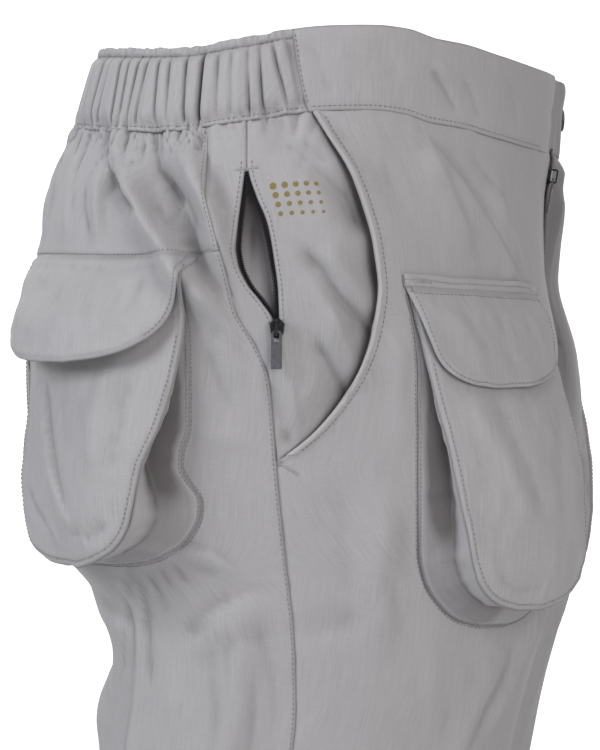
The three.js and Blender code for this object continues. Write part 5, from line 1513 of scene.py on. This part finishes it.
for side, sign in sides.items():

    def on(a, z, lift=0.0):
        return surface(sign, a, z, lift)

    def tack(first, last, lift=0.0):
        return on(*first, lift), on(*last, lift)

    side_row = on(*beside(side_seam, -1.1, -24, -92))
    yoke_row = on(np.arange(-86, -8.5, 1.2)[::-1], YOKE_SEAM + 1.0)
    stitches(f"stitches_yoke_{side}", [f"yoke_{side}"], [side_row, yoke_row])
    stitches(f"stitches_back_{side}", [f"leg_back_{side}"], [on(*beside(side_seam, -1.1, -95, -984))])
    front_rows = [on(*beside(front_curve, 4.7, -25, -199))]
    if sign < 0:
        fly = np.linspace(-26, -158, 60)
        front_rows.append(on(angle_at_reach(fly, np.maximum(fly_right(fly) + 3, 1)), fly))
    stitches(f"stitches_front_{side}", [f"leg_front_{side}"], front_rows)
    hem = np.arange(-178, 178, 1.6)
    for part, angles in (("back", hem[hem < 1.5]), ("front", hem[hem > 2.5])):
        row = on(angles, HEM + HEM_ROW)
        stitches(f"stitches_hem_{part}_{side}", [f"leg_{part}_{side}"], [row], 3.0, 2.3)

    for pocket, rows in LIDS.items():
        face, flap, base = (outlines[pocket, side, part] for part in ("face", "flap", "base"))
        _, _, lift = face_form(pocket, sign)
        a, z = inset(flap, 2.0)
        lines = [on(a, z, lift(a, z) + 6.0)]
        if pocket == "front_pocket":
            top = np.linspace(rows[0][1], rows[0][2], 60)
            row = rows[0][0] - LID_ROW + 0 * top
            lines.append(on(top, row, lift(top, row) + 6.0))
        stitches(f"stitches_{pocket}_lid_{side}", [f"{pocket}_lid_{side}"], lines)
        a, z = inset(face, 2.4)
        low = z < rows[-2][0] + 14
        stitches(f"stitches_{pocket}_front_{side}", [f"{pocket}_front_{side}"],
                 [on(a[low], z[low], lift(a, z)[low] + 2)])
        leg = f"leg_front_{side}" if pocket == "front_pocket" else f"leg_back_{side}"
        for part, piece, mm, above, length in (("base", leg, -1.6, 0.0, 1.9),
                                               ("seam", f"{pocket}_bellows_{side}", 0.4, 2.2, 1.8)):
            a, z = inset(base, mm)
            shown = z < rows[2][0]
            row = on(a[shown], z[shown], above)
            stitches(f"stitches_{pocket}_{part}_{side}", [piece], [row], 2.3, length)

    # The zip's edges, and the tacks by the zip, the curved edge and the header
    zip_rows = [on(*beside(edge, mm, ZIP_TOP + 6, ZIP_END - 6))
                for edge, mm in ((zip_rear, -2.2), (zip_front, 2.2))]
    stitches(f"stitches_zip_{side}", [f"hip_panel_{side}"], zip_rows)
    bartacks(f"tacks_zip_{side}", [f"hip_panel_{side}"],
             [tack((-6.8, ZIP_TOP + 1.2), (-2.4, ZIP_TOP + 1.2))], 1.8)
    bartacks(f"tacks_curve_{side}", [f"leg_front_{side}", f"leg_back_{side}"],
             [tack((0.8, -204.5), (4.2, -210.5))], 2.0)
    bartacks(f"tacks_header_{side}", [f"pocket_header_{side}"],
             [tack((a, HEADER_Z), (b, HEADER_Z), 6) for a, b in ((31.4, 36.2), (71.2, 75))], 3.0)

# Rows round the waistband

BAND_PITCH, BAND_STITCH = 2.7, 2.1


def band_row(z, first, last):
    return surface(-1, np.arange(first, last, -0.9), z)


back_end = -2 * float(centre_angle(0))
lines = [band_row(-19.9, 5, back_end - 5.4), band_row(17.9, 1.2, back_end - 1.6)]
stitches("stitches_band_back", ["band_back"], lines, BAND_PITCH, BAND_STITCH)
for (side, sign), last in zip(sides.items(), (74, 92)):
    z = np.linspace(20, -20, 24)
    upright = surface(sign, elastic_end(z) + 1.4 * degrees_per_mm(elastic_end(z), z), z)
    level = surface(sign, np.arange(6.5, last, 0.9), -19.8)
    stitches(f"stitches_band_front_{side}", [f"band_front_{side}"], [upright, level], BAND_PITCH,
             BAND_STITCH)

# Hard parts keep their solids, with rounded edges and their own materials

HARD = {
    "fly_slider": "slider_metal", "fly_tab": "tab_rubber", "waistband_snap": "stud_metal",
    "side_zip_slider_R": "slider_metal", "side_zip_slider_L": "slider_metal",
    "side_zip_tab_R": "tab_rubber", "side_zip_tab_L": "tab_rubber",
}
HARD_EDGE = 0.0003  # metres of rounding

for node, material in HARD.items():
    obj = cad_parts[node]
    for i in range(len(obj.material_slots)):
        obj.material_slots[i].material = materials[material]
    edge = obj.modifiers.new("edges", "BEVEL")
    edge.width, edge.segments, edge.limit_method = HARD_EDGE, 2, "ANGLE"

# A small plain print on the right hip panel: a slanted grid of dots of falling size

DOT_PITCH, DOT_RADIUS, DOT_SIDES = 5.6, 1.9, 16
DOT_ROWS, DOTS_IN_ROW, DOT_SLANT = 4, 5, 1.6
DOT_RIM, DOT_TOP = 0.07, 0.09  # how far a dot's rim and its middle stand off the cloth
PRINT_AT = (5.8, -67.6)
tree = tree_of("hip_panel_R")
vertices, faces = [], []
for row in range(DOT_ROWS):
    for step in range(DOTS_IN_ROW):
        radius = DOT_RADIUS * (1 - 0.1 * row) * (1 - 0.08 * step)
        away = (step - 2) * DOT_PITCH + (row - 1.5) * DOT_SLANT
        angle = PRINT_AT[0] + away * float(degrees_per_mm(*PRINT_AT))
        spot = surface(-1, angle, PRINT_AT[1] + (1.5 - row) * DOT_PITCH * 0.9) / 1000
        place, normal, _, _ = tree.find_nearest(Vector(tuple(spot)))
        place, normal = np.array(place) * 1000, np.array(normal)
        across = np.cross((0, 0, 1.0), normal)
        across /= np.linalg.norm(across)
        up = np.cross(normal, across)
        start = len(vertices)
        for k in range(DOT_SIDES):
            turn = 2 * math.pi * k / DOT_SIDES
            rim = place + radius * (across * math.cos(turn) + up * math.sin(turn))
            at, out, _, _ = tree.find_nearest(Vector(tuple(rim / 1000)))
            vertices.append(np.array(at) * 1000 + np.array(out) * DOT_RIM)
        vertices.append(place + normal * DOT_TOP)
        faces += [(start + k, start + (k + 1) % DOT_SIDES, start + DOT_SIDES) for k in range(DOT_SIDES)]
finish_piece("hip_print", make_object("hip_print", vertices, faces, None, "print"))

# Camera, at the photograph's angle and distance

CAMERA_TURN, CAMERA_DISTANCE = math.radians(8), 2.0
TARGET = Vector((-0.00207, 0.01476, -0.159))
camera = bpy.data.cameras.new("camera")
camera.lens, camera.sensor_width, camera.sensor_fit = 167.83, 36, "AUTO"
camera.clip_end = 50
eye = bpy.data.objects.new("camera", camera)
bpy.context.scene.collection.objects.link(eye)
back = Vector((-math.cos(CAMERA_TURN), -math.sin(CAMERA_TURN), 0))
eye.location = TARGET + back * CAMERA_DISTANCE
eye.rotation_euler = (-back).to_track_quat("-Z", "Y").to_euler()
bpy.context.scene.camera = eye

# Plain pale floor and backdrop, and soft studio light

scene = bpy.context.scene
scene.view_settings.view_transform = "Standard"
world = bpy.data.worlds.new("studio")
scene.world = world
world.use_nodes = True
world.node_tree.nodes["Background"].inputs["Color"].default_value = (1.0, 0.985, 0.975, 1)
world.node_tree.nodes["Background"].inputs["Strength"].default_value = 0.25


def area_light(name, place, aim, size, power, color):
    light = bpy.data.lights.new(name, "AREA")
    light.shape, light.size, light.size_y = "RECTANGLE", size[0], size[1]
    light.energy, light.color = power, color
    lamp = bpy.data.objects.new(name, light)
    lamp.location = place
    lamp.rotation_euler = (Vector(aim) - Vector(place)).to_track_quat("-Z", "Y").to_euler()
    scene.collection.objects.link(lamp)


area_light("key", (-1.3, 2.3, 1.1), (0, 0, -0.2), (1.1, 1.4), 58, (0.94, 0.955, 1.0))
area_light("fill", (-2.3, -1.5, 0.4), (0, 0, -0.2), (1.5, 1.6), 39, (1.0, 0.97, 0.955))
area_light("top", (-0.8, -0.3, 2.3), (0, 0, -0.2), (1.2, 1.2), 16, (1.0, 0.98, 0.98))
area_light("far_side", (2.0, 1.6, 1.2), (0, 0, -0.3), (1.6, 1.6), 12, (1.0, 0.98, 0.96))

plain("studio_floor", (0.80, 0.80, 0.80, 1), (0.84, 0.84, 0.84, 1), 0.9, 3, 0.00002)
white = plain("studio_white", (0.86, 0.86, 0.86, 1), (0.9, 0.9, 0.9, 1), 0.9, 3, 0.00002)
white.shader.inputs["Emission Color"].default_value = (1, 1, 1, 1)
white.shader.inputs["Emission Strength"].default_value = 1.0

FLOOR, FLOOR_HALF = -1.012, 4
WALL, WALL_HALF, WALL_LOW, WALL_TOP = 9.0, 4.5, -3.4, 4.5  # the wall stands beyond any view from the left


def stage_plane(name, corners, material):
    mesh = bpy.data.meshes.new(name)
    mesh.from_pydata(corners, [], [(0, 1, 2, 3)])
    mesh.update()
    obj = bpy.data.objects.new(name, mesh)
    obj.data.materials.append(materials[material])
    scene.collection.objects.link(obj)


across_floor = [(x * FLOOR_HALF, y * FLOOR_HALF, FLOOR) for x, y in ((-1, -1), (1, -1), (1, 1), (-1, 1))]
stage_plane("studio_floor", across_floor, "studio_floor")
stage_plane("studio_backdrop", [(WALL, WALL_HALF, WALL_LOW), (WALL, -WALL_HALF, WALL_LOW),
                                (WALL, -WALL_HALF, WALL_TOP), (WALL, WALL_HALF, WALL_TOP)], "studio_white")
